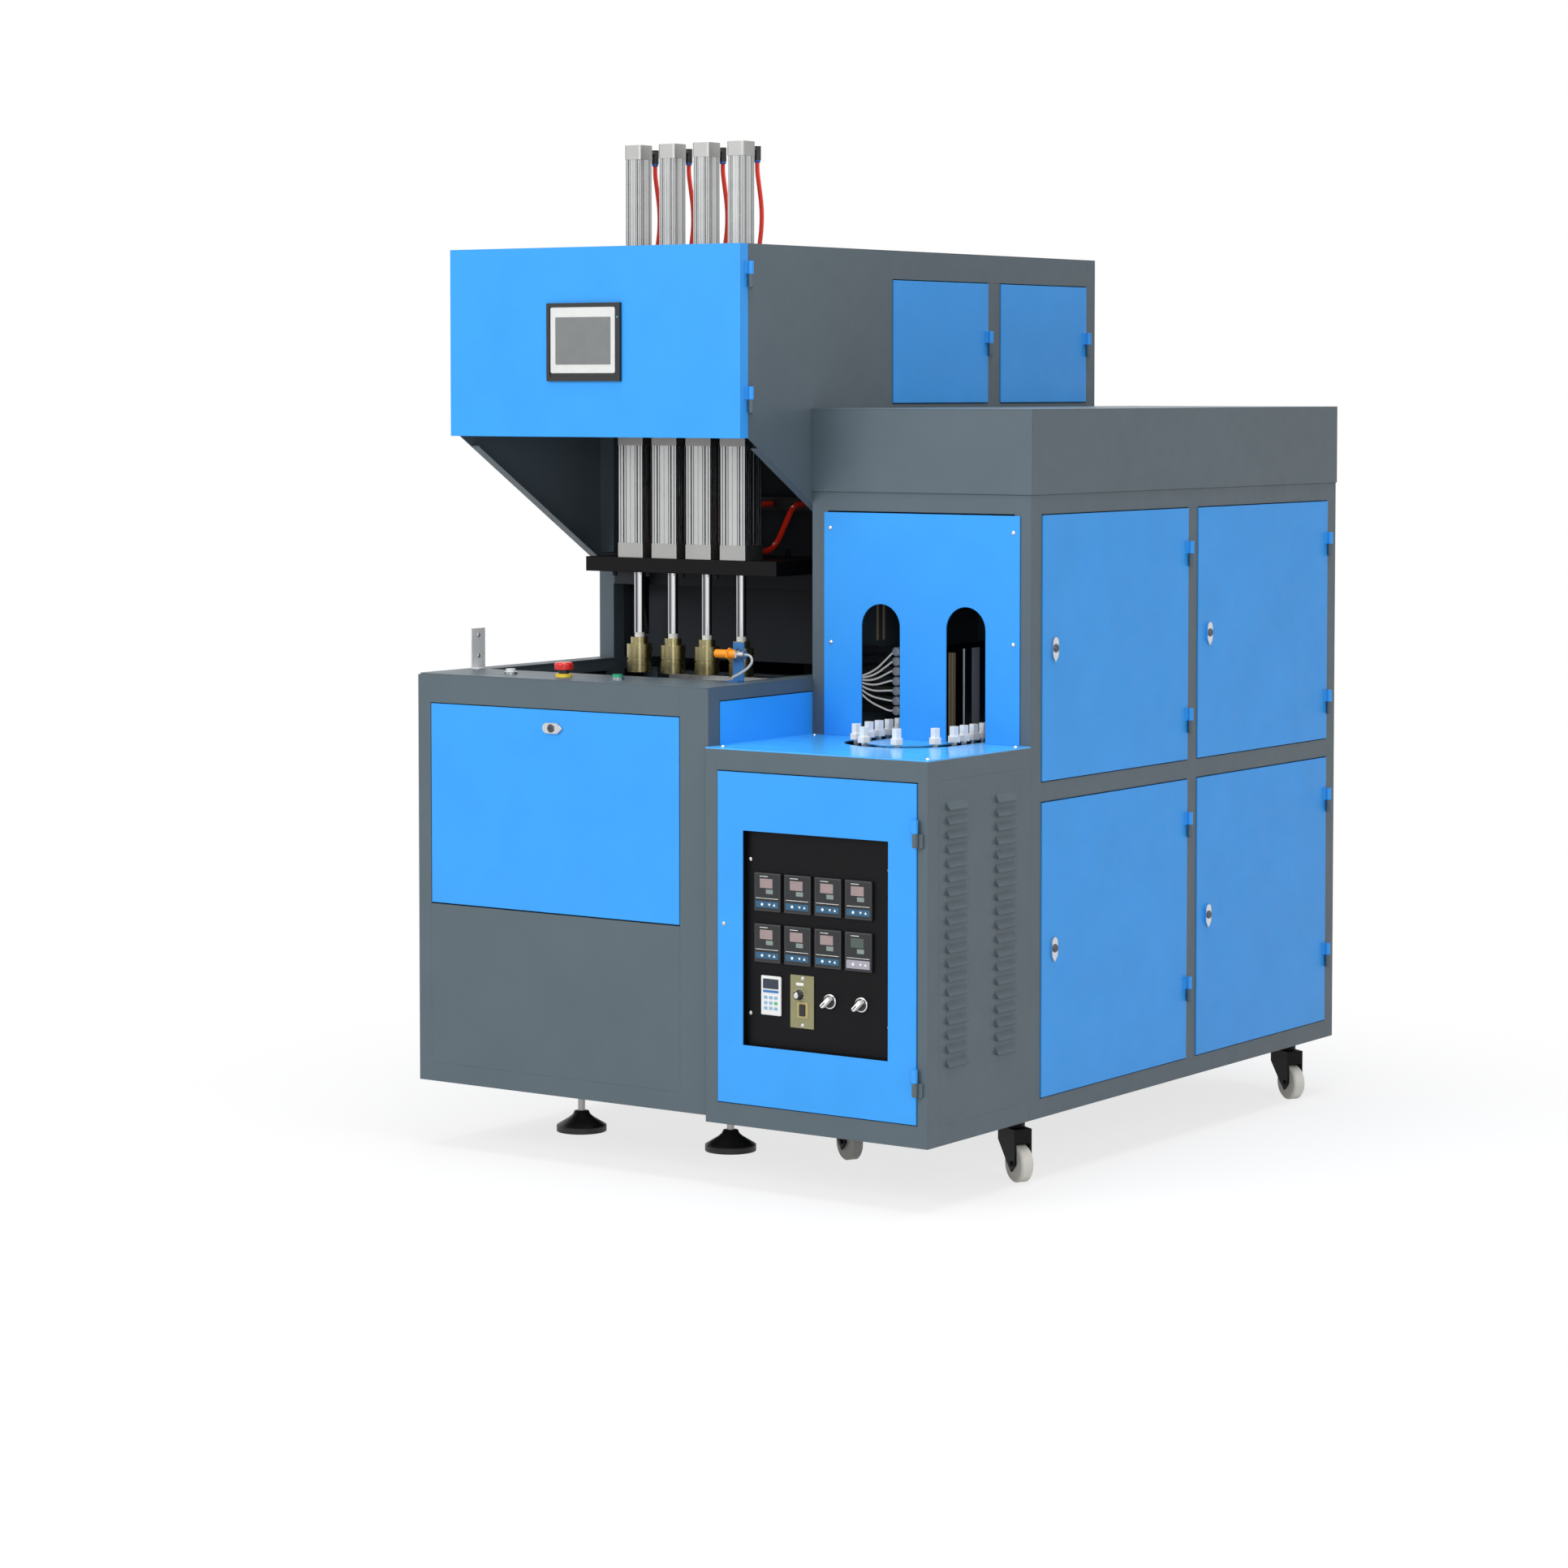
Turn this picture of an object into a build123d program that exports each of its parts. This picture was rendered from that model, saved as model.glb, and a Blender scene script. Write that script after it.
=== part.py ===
"""Four-cavity bottle blow moulding machine: a blow unit and the preform heater that stands beside it.

Millimetres, +Z up, floor at z = 0. X runs to the right along the fronts and Y runs to the rear.
Lengths are set out from the blow unit's front left corner, and the finished parts are moved
so that the origin lies on the floor under the middle of the machine.
"""

import os
from math import cos, pi, radians, sin, tan

from build123d import *

# Blow unit, overall
blow_width = 770.0
blow_depth = 1540.0
base_bottom = 143.0
base_top = 1022.0
hood_bottom = 1529.0
hood_top = 1930.0
hood_front = 142.0
column_front = 640.0
gusset_bottom = 1231.0

# Heater, overall
heater_width = 541.0
heater_depth = 1726.0
heater_lead = 10.0
heater_bottom = 132.0
heater_table_top = 902.0
heater_top = 1590.0
roof_height = 175.0
table_depth = 385.0

# Stock: tubes, sheets and clearances
tube = 40.0
sheet = 2.5
plate = 3.0
cut_overrun = 5.0
corner_share = 0.45
panel_gap = 2.0
running_clearance = 0.05
free_clearance = 1.0

# Blow unit base
base_left_stile = 34.0
base_right_stile = 72.0
base_top_band = 62.0
base_panel_bottom = 527.0
side_top_band = 29.0
deck_front_depth = 180.0
deck_rim = 50.0
deck_corner_radius = 12.0
guide_gap = 63.0
guide_plate_thickness = 30.0
guide_drop = 40.0
wall_setback = 65.0

# Upper cabinet of the blow unit
gusset_flange = 22.0
upper_mid_post = 50.0
upper_post_share = 0.478
upper_top_band = 62.0
upper_door_lift = 8.0
top_opening_margin = 24.0
top_opening_rear = 75.0

# Doors, hinges and locks
door_depth = 20.0
door_proud = 2.0
knuckle_radius = 6.0
knuckle_length = 27.0
knuckle_gap = 0.4
hinge_pin_radius = 3.0
hinge_pin_length = 20.0
leaf_width = 14.0
leaf_thickness = 3.0
hinge_clearance = 0.4
hinge_inset_upper = 100.0
hinge_inset_lower = 87.0
lower_door_hinge_inset = 154.0
lock_width = 23.0
lock_height = 47.0
lock_thickness = 5.0
lock_core_radius = 7.0
lock_core_height = 3.0
lock_inset = 44.0
front_lock_inset = 38.0
tilt_gap = 3.0
tilt_pin_inset = 5.0
tilt_pin_radius = 3.0
tilt_pin_length = 10.0
hood_door_depth = 28.0
hood_hinge_insets = (80.0, 63.0)

# Touch screen on the hood door
screen_place_share = 0.476
screen_width = 195.0
screen_height = 165.0
screen_thickness = 7.0
screen_border = 9.0
screen_recess = 2.0

# Blow stations
station_count = 4
station_pitch = 92.0
row_y = 462.0
plate_width = 514.0
plate_top = 1261.0
plate_thickness = 32.0
plate_wing_depth = 80.0
rib_thickness = 12.0
rib_drop = 150.0
plate_bolt_radius = 6.0
plate_bolt_height = 9.0

# Seal cylinders, which lower the blow heads, and stretch cylinders above them
seal_square = 68.0
seal_cap_height = 32.0
seal_barrel_height = 214.0
seal_bore_radius = 25.0
seal_piston_height = 18.0
seal_rod_radius = 11.0
seal_rod_length = 134.0
stretch_square = 45.0
stretch_cap_height = 31.0
stretch_barrel_height = 562.0
stretch_bore_radius = 16.0
stretch_piston_height = 16.0
stretch_rod_radius = 5.0
stretch_headroom = 40.0
barrel_inset = 2.0
groove_width_share = 0.1
groove_depth = 2.5
groove_place_shares = (-0.27, 0.0, 0.27)

# Blow heads
ring_radius = 10.5
ring_height = 10.0
collar_radius = 19.0
collar_height = 15.0
head_radius = 27.5
head_upper_height = 31.0
head_groove_height = 3.0
head_groove_depth = 3.0
head_lower_height = 28.0
head_port_radius = 6.0
head_port_length = 14.0

# Air fittings, manifold and tubes
fitting_radius = 8.0
fitting_length = 16.0
elbow_drop = 22.0
elbow_reach = 38.0
tube_radius = 5.0
lower_tube_radius = 6.5
manifold_height = 30.0
manifold_depth = 34.0
manifold_drop = 50.0
upper_fall_shares = (0.0, 0.1, 0.5, 0.9, 1.0)
upper_bow_shares = (0.0, 0.0, 1.0, 0.0, 0.0)
upper_bow = 9.0
lower_turn_shares = (0.0, 0.0, 1.0, 1.0)
lower_reach_shares = (0.0, 0.45, 0.72, 1.0)
lower_run_x = 24.0
lower_run_z = 100.0
bow_reach_shares = (0.0, 0.16, 0.27, 0.5, 1.0, 1.0)
bow_side_shares = (0.0, 0.0, 1.0, 1.0, 0.45, 0.0)
bow_fall_shares = (0.0, 0.0, 0.46, 0.95, 1.0, 1.0)
bow_swing = 100.0

# Mould clamp
platen_width = 484.0
platen_drop = 37.0
platen_height = 345.0
platen_thickness = 40.0
platen_open_gap = 500.0
mould_bolt_spacing_x = 360.0
mould_bolt_spacing_z = 200.0
mould_bolt_radius = 5.1
tie_bar_radius = 22.5
tie_bar_inset = 50.0
yoke_place_share = 0.6
yoke_thickness = 45.0
clamp_cylinder_radius = 75.0
clamp_length_share = 0.445
clamp_rod_radius = 30.0
clamp_rod_gap = 20.0

# Controls and light beam on the table
button_y = 80.0
button_x_shares = (0.247, 0.434, 0.619)
bezel_radius = 14.5
bezel_height = 5.0
button_radius = 10.5
button_height = 8.0
button_travel = 3.0
stop_ring_radius = 18.0
stop_ring_height = 7.0
stop_neck = 5.0
stop_stem_radius = 11.0
stop_head_radius = 20.0
stop_head_height = 15.0
stop_travel = 4.0
beam_inset = 4.0
beam_height = 58.0
bracket_inset = 64.0
bracket_width = 27.0
bracket_height = 82.0
bracket_foot = 22.0
sensor_radius = 9.0
sensor_overhang = 32.0
sensor_length = 73.0
sensor_nut_radius = 13.0
sensor_nut_length = 4.0
sensor_axis_forward = 15.0
reflector_x = 20.0
reflector_width = 45.0
reflector_height = 88.0
cable_radius = 2.5
cable_route = ((0, 0, 0), (10, 0, 0), (19, -2, -5), (22, -5, -15), (14, -9, -27), (-3, -12, -38), (-22, -13, -47))

# Levelling feet
foot_radius = 55.0
foot_height = 12.0
foot_cone_radius = 16.0
foot_cone_height = 14.0
foot_stem_radius = 8.0
foot_nut_radius = 14.0
foot_nut_height = 12.0
foot_inset_x = 183.0
foot_inset_y = 332.0

# Heater cabinet
heater_left_stile = 30.0
heater_stile = 24.0
heater_top_band = 42.0
heater_bottom_band = 44.0
mid_rail_drop = 117.0
roof_overhang = 3.0
door_lock_drop = 274.0
lower_lock_drop = 304.0
louvre_rows = 19
louvre_width = 74.0
louvre_height = 17.0
louvre_depth = 9.0
louvre_zone_shares = (0.167, 0.954)
louvre_columns = (66.0, 250.0)

# Arch panel and preform lanes
arch_panel_sides = (32.0, 26.0)
arch_panel_drop = 43.0
arch_width = 96.0
arch_height = 280.0
lane_radius = 105.0
lane_offset = 280.0
lane_lead = 65.0
lane_rear_inset = 156.0
slot_width = 46.0

# Mandrel chain and its drive
mandrel_pitch = 38.0
mandrel_radius = 10.5
mandrel_height = 32.0
mandrel_lift = 5.0
mandrel_collar_radius = 14.0
mandrel_collar_height = 12.0
bend_mandrels = 4
mandrel_neck_radius = 6.0
chain_width = 24.0
chain_height = 18.0
chain_drop = 46.0
strand_width = 12.0
strand_height = 10.0
link_length_share = 0.86
sprocket_teeth = 16
sprocket_clearance = 1.5
sprocket_tooth = 9.0
sprocket_tooth_shares = (0.0, 0.3, 0.5, 0.8)
sprocket_thickness = 14.0
shaft_radius = 15.0
shaft_engagement = 40.0
motor_radius = 62.0
motor_height = 210.0
gearbox_width = 150.0
gearbox_height = 110.0
motor_beam_height = 30.0

# Lamps
lamp_rows = 7
lamp_pitch = 21.0
lamp_lift = 47.0
lamp_radius = 5.0
lamp_cap_radius = 9.0
lamp_cap_length = 30.0
lamp_setback = 112.0
lamp_rear_inset = 60.0
lamp_offset = 38.0
lamp_plate_thickness = 4.0
lamp_plate_width = 30.0
reflector_offset = 60.0
reflector_thickness = 3.0
reflector_setback = 83.0
lead_radius = 2.0
lead_pitch = 4.2
lead_stub = 12.0
lead_slack = 14.0

# Control door and its panel
window_inset_left = 95.0
window_inset_right = 93.0
window_lift = 167.0
window_drop = 165.0
panel_overlap = 14.0
panel_recess = 15.0
control_panel_thickness = 3.0
standoff_radius = 4.0
regulator_columns = 4
regulator_rows = 2
regulator_width = 64.0
regulator_height = 78.0
regulator_proud = 6.0
regulator_pitch_x = 74.0
regulator_pitch_z = 104.0
regulator_inset = 23.0
regulator_drop = 84.0
keypad_inset = 38.0
keypad_width = 49.0
keypad_lift = 65.0
keypad_height = 80.0
keypad_proud = 4.0
speed_inset = 109.0
speed_width = 57.0
speed_lift = 45.0
speed_height = 107.0
speed_proud = 2.0
knob_inset = 131.0
knob_lift = 112.0
knob_radius = 8.0
knob_height = 12.0
selector_insets = (205.0, 281.0)
selector_lift = 105.0
selector_radius = 14.0
selector_flange = 3.0
selector_height = 8.0
selector_handle_width = 7.0
selector_handle_length = 26.0
selector_handle_height = 12.0
selector_angle = 45.0

# Casters
caster_inset_x = 60.0
caster_inset_front = 30.0
caster_inset_rear = 121.0
caster_plate = 84.0
caster_plate_thickness = 6.0
caster_head_radius = 26.0
caster_head_height = 14.0
caster_wheel_radius = 39.0
caster_wheel_width = 28.0
caster_trail = 30.0
caster_heading = -30.0
fork_thickness = 4.0
fork_gap = 2.0
fork_width = 34.0
fork_clearance = 4.0
axle_radius = 5.0

# Worked out places
heater_left = blow_width
heater_right = heater_left + heater_width
heater_front = -heater_lead
heater_rear = heater_front + heater_depth
tall_front = heater_front + table_depth
roof_bottom = heater_top - roof_height
heater_middle = (heater_left + heater_right) / 2
mid_rail_bottom = heater_table_top - mid_rail_drop
lane_x = heater_left + lane_offset
lane_front = tall_front - lane_lead
lane_rear = heater_rear - lane_rear_inset
arch_panel_top = roof_bottom - arch_panel_drop
chain_bottom = heater_table_top - chain_drop
arch_top = heater_table_top + arch_height
lamp_first = heater_table_top + lamp_lift
lamp_front = tall_front + lamp_setback
lamp_rear = lane_rear - lamp_rear_inset
window_left = heater_left + window_inset_left
window_right = heater_right - window_inset_right
window_bottom = heater_bottom + window_lift
window_top = heater_table_top - window_drop
row_x = blow_width / 2
hinge_offset = door_proud + knuckle_radius + hinge_clearance
deck_under = base_top - plate
column_wall = column_front + wall_setback
side_panel_top = base_top - side_top_band
base_panel_top = base_top - base_top_band
base_panel_right = blow_width - base_right_stile
station_xs = [row_x + (i - (station_count - 1) / 2) * station_pitch for i in range(station_count)]
plate_bottom = plate_top - plate_thickness
seal_top = plate_top + 2 * seal_cap_height + seal_barrel_height
stretch_top = seal_top + 2 * stretch_cap_height + stretch_barrel_height
rod_end = plate_bottom - seal_rod_length
head_top = rod_end - ring_height
head_bottom = head_top - collar_height - head_upper_height - head_groove_height - head_lower_height
platen_front_face = row_y - platen_open_gap / 2
platen_rear_face = row_y + platen_open_gap / 2
platen_top = base_top - platen_drop
platen_bottom = platen_top - platen_height
platen_middle = (platen_bottom + platen_top) / 2
guide_plate_y = platen_rear_face + platen_thickness + guide_gap
guide_rear = guide_plate_y + guide_plate_thickness
clamp_room = blow_depth - door_depth - guide_rear
tie_bar_rear = guide_rear + yoke_place_share * clamp_room
clamp_cylinder_length = clamp_length_share * clamp_room
upper_mid_post_y = column_front + upper_post_share * (blow_depth - column_front)
manifold_top = hood_top - manifold_drop
screen_left = screen_place_share * blow_width - screen_width / 2
screen_bottom = (hood_bottom + hood_top - screen_height) / 2
beam_y = deck_front_depth - beam_inset
bracket_x = blow_width - bracket_inset
sensor_left = bracket_x - sensor_overhang
upper_sill = heater_top + upper_door_lift
upper_head = hood_top - upper_top_band
control_face = heater_front - door_proud
panel_face = control_face + panel_recess


# Basic solids

def block(x0, x1, y0, y1, z0, z1):
    """Box between two corners."""
    middle = Pos((x0 + x1) / 2, (y0 + y1) / 2, (z0 + z1) / 2)
    return middle * Box(x1 - x0, y1 - y0, z1 - z0)


def rod_z(x, y, z0, z1, radius):
    """Upright cylinder."""
    return Pos(x, y, (z0 + z1) / 2) * Cylinder(radius, z1 - z0)


def rod_y(x, z, y0, y1, radius):
    """Cylinder along Y."""
    return Pos(x, (y0 + y1) / 2, z) * Rot(90, 0, 0) * Cylinder(radius, y1 - y0)


def rod_x(y, z, x0, x1, radius):
    """Cylinder along X."""
    return Pos((x0 + x1) / 2, y, z) * Rot(0, 90, 0) * Cylinder(radius, x1 - x0)


def prism_z(x, y, z0, z1, radius, sides):
    """Upright prism with a few sides."""
    return Pos(x, y, z0) * extrude(RegularPolygon(radius, sides), z1 - z0)


def octagon_y(x, z, y0, y1, radius):
    """Eight-sided bar along Y, with flats to the sides."""
    profile = Rot(0, 0, 180 / 8) * RegularPolygon(radius, 8)
    return Pos(x, y1, z) * Rot(90, 0, 0) * extrude(profile, y1 - y0)


def side_plate(outline, x0, x1):
    """Plate cut to an outline in Y and Z, between two X planes."""
    face = Plane.YZ * make_face(Polyline(*outline, close=True).edges())
    return Pos(x0, 0, 0) * extrude(face, x1 - x0, dir=(1, 0, 0))


def along(points, radius):
    """Tube along a route, each corner rounded as widely as its two runs allow."""
    route = [Vector(*p) for p in points]
    radii = []
    for before, corner, after in zip(route, route[1:], route[2:]):
        shorter = min((corner - before).length, (after - corner).length)
        turn = radians((corner - before).get_angle(after - corner))
        radii.append(corner_share * shorter / tan(turn / 2))
    path = FilletPolyline(*route, radius=radii)
    start = Plane(origin=route[0], z_dir=route[1] - route[0])
    return sweep(start * RegularPolygon(radius, 8), path=path)


# Doors: a folded pan, hinged at its right edge as seen from outside
# Local frame: the frame's face is y = 0, outside is -y, and the opening's hinge edge is x = 0

def pan(width, height, depth):
    """Folded sheet panel with its face at y = 0, open at the back."""
    outer = block(-width, 0, 0, depth, 0, height)
    hollow = block(sheet - width, -sheet, sheet, depth + cut_overrun, sheet, height - sheet)
    return outer - hollow


def lock_solids(x, y, z, upright):
    """Oval key lock with a round core, on a face that looks along -y."""
    length = lock_height - lock_width
    oval = SlotCenterToCenter(length, lock_width)
    turned = Rot(0, 0, 90) * oval if upright else oval
    face = Plane(origin=(x, y, z), x_dir=(1, 0, 0), z_dir=(0, -1, 0))
    case = extrude(face * turned, lock_thickness)
    core = rod_y(x, z, y - lock_thickness - lock_core_height, y - lock_thickness, lock_core_radius)
    return case + core


def door_knuckle(z):
    """Upper half of a lift-off hinge, with its leaf on the door."""
    axis_x = -panel_gap / 2
    barrel = rod_z(axis_x, -hinge_offset, z, z + knuckle_length, knuckle_radius)
    leaf = block(-panel_gap - leaf_width, axis_x, -door_proud - leaf_thickness, -door_proud, z, z + knuckle_length)
    pin_space = rod_z(axis_x, -hinge_offset, z - cut_overrun, z + hinge_pin_length + free_clearance,
                      hinge_pin_radius + running_clearance)
    return barrel + leaf - pin_space


def frame_knuckle(z):
    """Lower half of a lift-off hinge, with its pin and its leaf on the frame."""
    axis_x = -panel_gap / 2
    top = z - knuckle_gap
    barrel = rod_z(axis_x, -hinge_offset, top - knuckle_length, top, knuckle_radius)
    leaf = block(axis_x, leaf_width, -door_proud - leaf_thickness, 0, top - knuckle_length, top)
    pin = rod_z(axis_x, -hinge_offset, top, top + hinge_pin_length, hinge_pin_radius)
    return barrel + leaf + pin


def hinged_pan(width, height, hinge_heights):
    """Door pan with its hinge halves, in the local frame."""
    door = Pos(-panel_gap, -door_proud, 0) * pan(width, height, door_depth)
    for z in hinge_heights:
        door += door_knuckle(z)
    return door


def on_side(x, y, z):
    """Place of a door on a wall that faces +X, with its hinge edge at the rear."""
    return Pos(x, y, z) * Rot(0, 0, 90)


# Blow unit, fixed parts

def base_frame():
    """Welded tubes of the base and the upper cabinet, with the guide plate for the tie bars."""
    right = blow_width - tube
    rear = blow_depth - tube
    low = base_bottom + tube
    post_top = hood_top - sheet
    left_hole, right_hole = tilt_pins(tilt_pin_radius + running_clearance)
    bars = [
        block(0, base_left_stile, 0, tube, base_bottom, deck_under) - left_hole,
        block(base_panel_right, blow_width, 0, tube, base_bottom, deck_under) - right_hole,
        block(base_left_stile, base_panel_right, 0, tube, base_panel_top, deck_under),
        block(base_left_stile, base_panel_right, 0, tube, base_bottom, low),
        block(base_left_stile, base_panel_right, sheet, tube, base_panel_bottom - tube, base_panel_bottom),
        block(tube, right, rear, blow_depth, base_bottom, low),
        block(tube, right, rear, blow_depth, side_panel_top, base_top),
        block(tube, right, rear, blow_depth, upper_head, post_top),
        block(tube, right, column_front, column_front + tube, upper_head, post_top),
        block(tube, right, column_front, column_front + tube, plate_bottom - tube, plate_bottom),
    ]
    for x in (0, right):
        bars += [
            block(x, x + tube, tube, rear, base_bottom, low),
            block(x, x + tube, tube, column_front, side_panel_top, deck_under),
            block(x, x + tube, column_front + tube, rear, side_panel_top, base_top),
            block(x, x + tube, column_front, column_front + tube, low, post_top),
            block(x, x + tube, rear, blow_depth, base_bottom, post_top),
            block(x, x + tube, column_front + tube, rear, upper_head, post_top),
            block(x, x + tube, column_front + tube, rear, upper_sill - tube, upper_sill),
            block(x, x + tube, upper_mid_post_y, upper_mid_post_y + upper_mid_post, upper_sill, upper_head),
        ]
    guide_left = door_depth + panel_gap
    guide_right = blow_width - guide_left
    for x in (guide_left, guide_right - tube):
        bars.append(block(x, x + tube, guide_plate_y - tube, guide_rear, low, side_panel_top))
        bars.append(block(x, x + tube, guide_plate_y - tube, guide_rear, base_bottom, low)
                    - block(0, tube, 0, blow_depth, base_bottom, low)
                    - block(right, blow_width, 0, blow_depth, base_bottom, low))
    guide = block(guide_left + tube, guide_right - tube, guide_plate_y, guide_rear,
                  platen_bottom - guide_drop, platen_top)
    for x, z in tie_bar_places():
        guide -= rod_y(x, z, guide_plate_y - cut_overrun, guide_plate_y + tube, tie_bar_radius + running_clearance)
    guide -= rod_y(row_x, platen_middle, guide_plate_y - cut_overrun, guide_plate_y + tube,
                   clamp_rod_radius + running_clearance)
    return bars + [guide] + hood_frame()


def hood_frame():
    """Tubes round the mouth of the hood, behind its door."""
    back = hood_front + tube
    left = sheet
    right = blow_width - sheet
    high = hood_top - sheet
    return [
        block(left, left + tube, hood_front, back, hood_bottom, high),
        block(right - tube, right, hood_front, back, hood_bottom, high),
        block(left + tube, right - tube, hood_front, back, hood_bottom, hood_bottom + tube),
        block(left + tube, right - tube, hood_front, back, high - tube, high),
        block(left, left + tube, back, column_front, high - tube, high),
        block(right - tube, right, back, column_front, high - tube, high),
    ]


def gusset(x, inward):
    """Slanted side sheet of the hood, with the flange folded in along its slant."""
    outline = [(hood_front, hood_bottom), (hood_front, hood_top), (column_front, hood_top), (column_front, gusset_bottom)]
    outer = side_plate(outline, x, x + inward * sheet)
    run = column_front - hood_front - tube
    fall = (hood_bottom - gusset_bottom) * run / (column_front - hood_front)
    start = (hood_front + tube, hood_bottom - (hood_bottom - gusset_bottom) + fall)
    strip = [start, (start[0], start[1] + plate), (column_front, gusset_bottom + plate), (column_front, gusset_bottom)]
    flange = side_plate(strip, x + inward * sheet, x + inward * gusset_flange)
    return [outer, flange]


def blow_skins():
    """Grey sheets that close the base, the hood and the upper cabinet."""
    right = blow_width - sheet
    low = base_bottom + tube
    rear = blow_depth - tube
    opening_x = (station_count - 1) * station_pitch / 2 + stretch_square / 2 + top_opening_margin
    opening_front = row_y - stretch_square / 2 - top_opening_margin
    opening_rear = row_y + stretch_square / 2 + top_opening_rear
    under = hood_top - sheet
    skins = [
        block(base_left_stile, base_panel_right, 0, sheet, low, base_panel_bottom),
        block(sheet, right, hood_front, opening_front, under, hood_top),
        block(sheet, right, opening_rear, column_front, under, hood_top),
        block(0, blow_width, column_front, blow_depth, under, hood_top),
        block(sheet, row_x - opening_x, opening_front, opening_rear, under, hood_top),
        block(row_x + opening_x, right, opening_front, opening_rear, under, hood_top),
        block(tube, blow_width - tube, column_wall, column_wall + sheet, base_top, upper_head),
    ]
    for x in (0, right):
        skins.append(block(x, x + sheet, tube, column_front, low, base_panel_bottom))
        skins.append(block(x, x + sheet, column_front + tube, rear, low, base_panel_bottom))
        skins.append(block(x, x + sheet, column_front + tube, rear, base_top, upper_sill - tube))
    skins += gusset(0, 1)
    skins += gusset(blow_width, -1)
    for z in hood_hinge_heights():
        skins.append(hood_frame_knuckle(z))
    for y in upper_door_edges():
        for z in upper_hinge_heights():
            skins.append(on_side(blow_width, y, 0) * frame_knuckle(z))
    return skins


def side_panels():
    """Blue screwed panels: the sides of the base, the cabinet's left side and the rears of both units."""
    panels = []
    height = side_panel_top - base_panel_bottom
    spans = [(tube, column_front), (column_front + tube, blow_depth - tube)]
    for y0, y1 in spans:
        width = y1 - y0 - 2 * panel_gap
        cover = pan(width, height - panel_gap, door_depth)
        panels.append(Pos(blow_width, y1 - panel_gap, base_panel_bottom) * Rot(0, 0, 90) * cover)
        panels.append(Pos(0, y0 + panel_gap, base_panel_bottom) * Rot(0, 0, -90) * cover)
    cover_height = upper_head - upper_sill - panel_gap
    for y0, y1 in ((column_front + tube, upper_mid_post_y), (upper_mid_post_y + upper_mid_post, blow_depth - tube)):
        cover = pan(y1 - y0 - 2 * panel_gap, cover_height, door_depth)
        panels.append(Pos(0, y0 + panel_gap, upper_sill) * Rot(0, 0, -90) * cover)
    rears = [
        (tube, blow_width - tube, base_bottom + tube, side_panel_top, blow_depth),
        (tube, blow_width - tube, base_top, upper_head, blow_depth),
        (heater_left + tube, heater_right - tube, heater_bottom + tube, mid_rail_bottom, heater_rear),
        (heater_left + tube, heater_right - tube, mid_rail_bottom + tube, roof_bottom - tube, heater_rear),
    ]
    for x0, x1, z0, z1, y in rears:
        cover = pan(x1 - x0 - 2 * panel_gap, z1 - z0 - panel_gap, door_depth)
        panels.append(Pos(x0 + panel_gap, y, z0) * Rot(0, 0, 180) * cover)
    return panels


def table_deck():
    """Table sheet round the mould pit."""
    deck = block(0, blow_width, 0, column_front, deck_under, base_top)
    deck -= block(deck_rim, blow_width - deck_rim, deck_front_depth, column_front + cut_overrun,
                  deck_under - cut_overrun, base_top + cut_overrun)
    front_corners = deck.edges().filter_by(Axis.Z).group_by(Axis.Y)[0]
    return [fillet(front_corners, deck_corner_radius)]


def tilt_pins(radius):
    """Pins at the foot of the front panel, which reach into the stiles."""
    z = base_panel_bottom + tilt_gap + tilt_pin_inset
    left = base_left_stile + panel_gap
    right = base_panel_right - panel_gap
    return [
        rod_x(tilt_pin_inset, z, left - tilt_pin_length, left, radius),
        rod_x(tilt_pin_inset, z, right, right + tilt_pin_length, radius),
    ]


def front_panel():
    """Blue panel in the base's front, which tilts out on two pins, with its key lock."""
    width = base_panel_right - base_left_stile - 2 * panel_gap
    low = base_panel_bottom + tilt_gap
    height = base_panel_top - panel_gap - low
    cover = Pos(base_panel_right - panel_gap, 0, low) * pan(width, height, door_depth)
    for pin in tilt_pins(tilt_pin_radius):
        cover += pin
    middle = (base_left_stile + base_panel_right) / 2
    return [cover, lock_solids(middle, 0, low + height - front_lock_inset, False)]


# Hood door and the two doors of the upper cabinet

def hood_hinge_heights():
    low, high = hood_hinge_insets
    return (hood_bottom + low, hood_top - high)


def hood_axis():
    return (blow_width + knuckle_radius + hinge_clearance, hood_front)


def hood_door_knuckle(z):
    """Upper hinge half on the hood door's side."""
    x, y = hood_axis()
    barrel = rod_z(x, y, z, z + knuckle_length, knuckle_radius)
    leaf = block(blow_width, blow_width + leaf_thickness, y - leaf_width, y, z, z + knuckle_length)
    pin_space = rod_z(x, y, z - cut_overrun, z + hinge_pin_length + free_clearance, hinge_pin_radius + running_clearance)
    return barrel + leaf - pin_space


def hood_frame_knuckle(z):
    """Lower hinge half and pin on the hood's side sheet."""
    x, y = hood_axis()
    top = z - knuckle_gap
    barrel = rod_z(x, y, top - knuckle_length, top, knuckle_radius)
    leaf = block(blow_width, blow_width + leaf_thickness, y, y + leaf_width, top - knuckle_length, top)
    pin = rod_z(x, y, top, top + hinge_pin_length, hinge_pin_radius)
    return barrel + leaf + pin


def hood_door():
    """Deep folded door that covers the hood's whole front."""
    height = hood_top - hood_bottom
    door = Pos(blow_width, hood_front - hood_door_depth - panel_gap / 2, hood_bottom) * pan(blow_width, height, hood_door_depth)
    for z in hood_hinge_heights():
        door += hood_door_knuckle(z)
    return [door]


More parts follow.
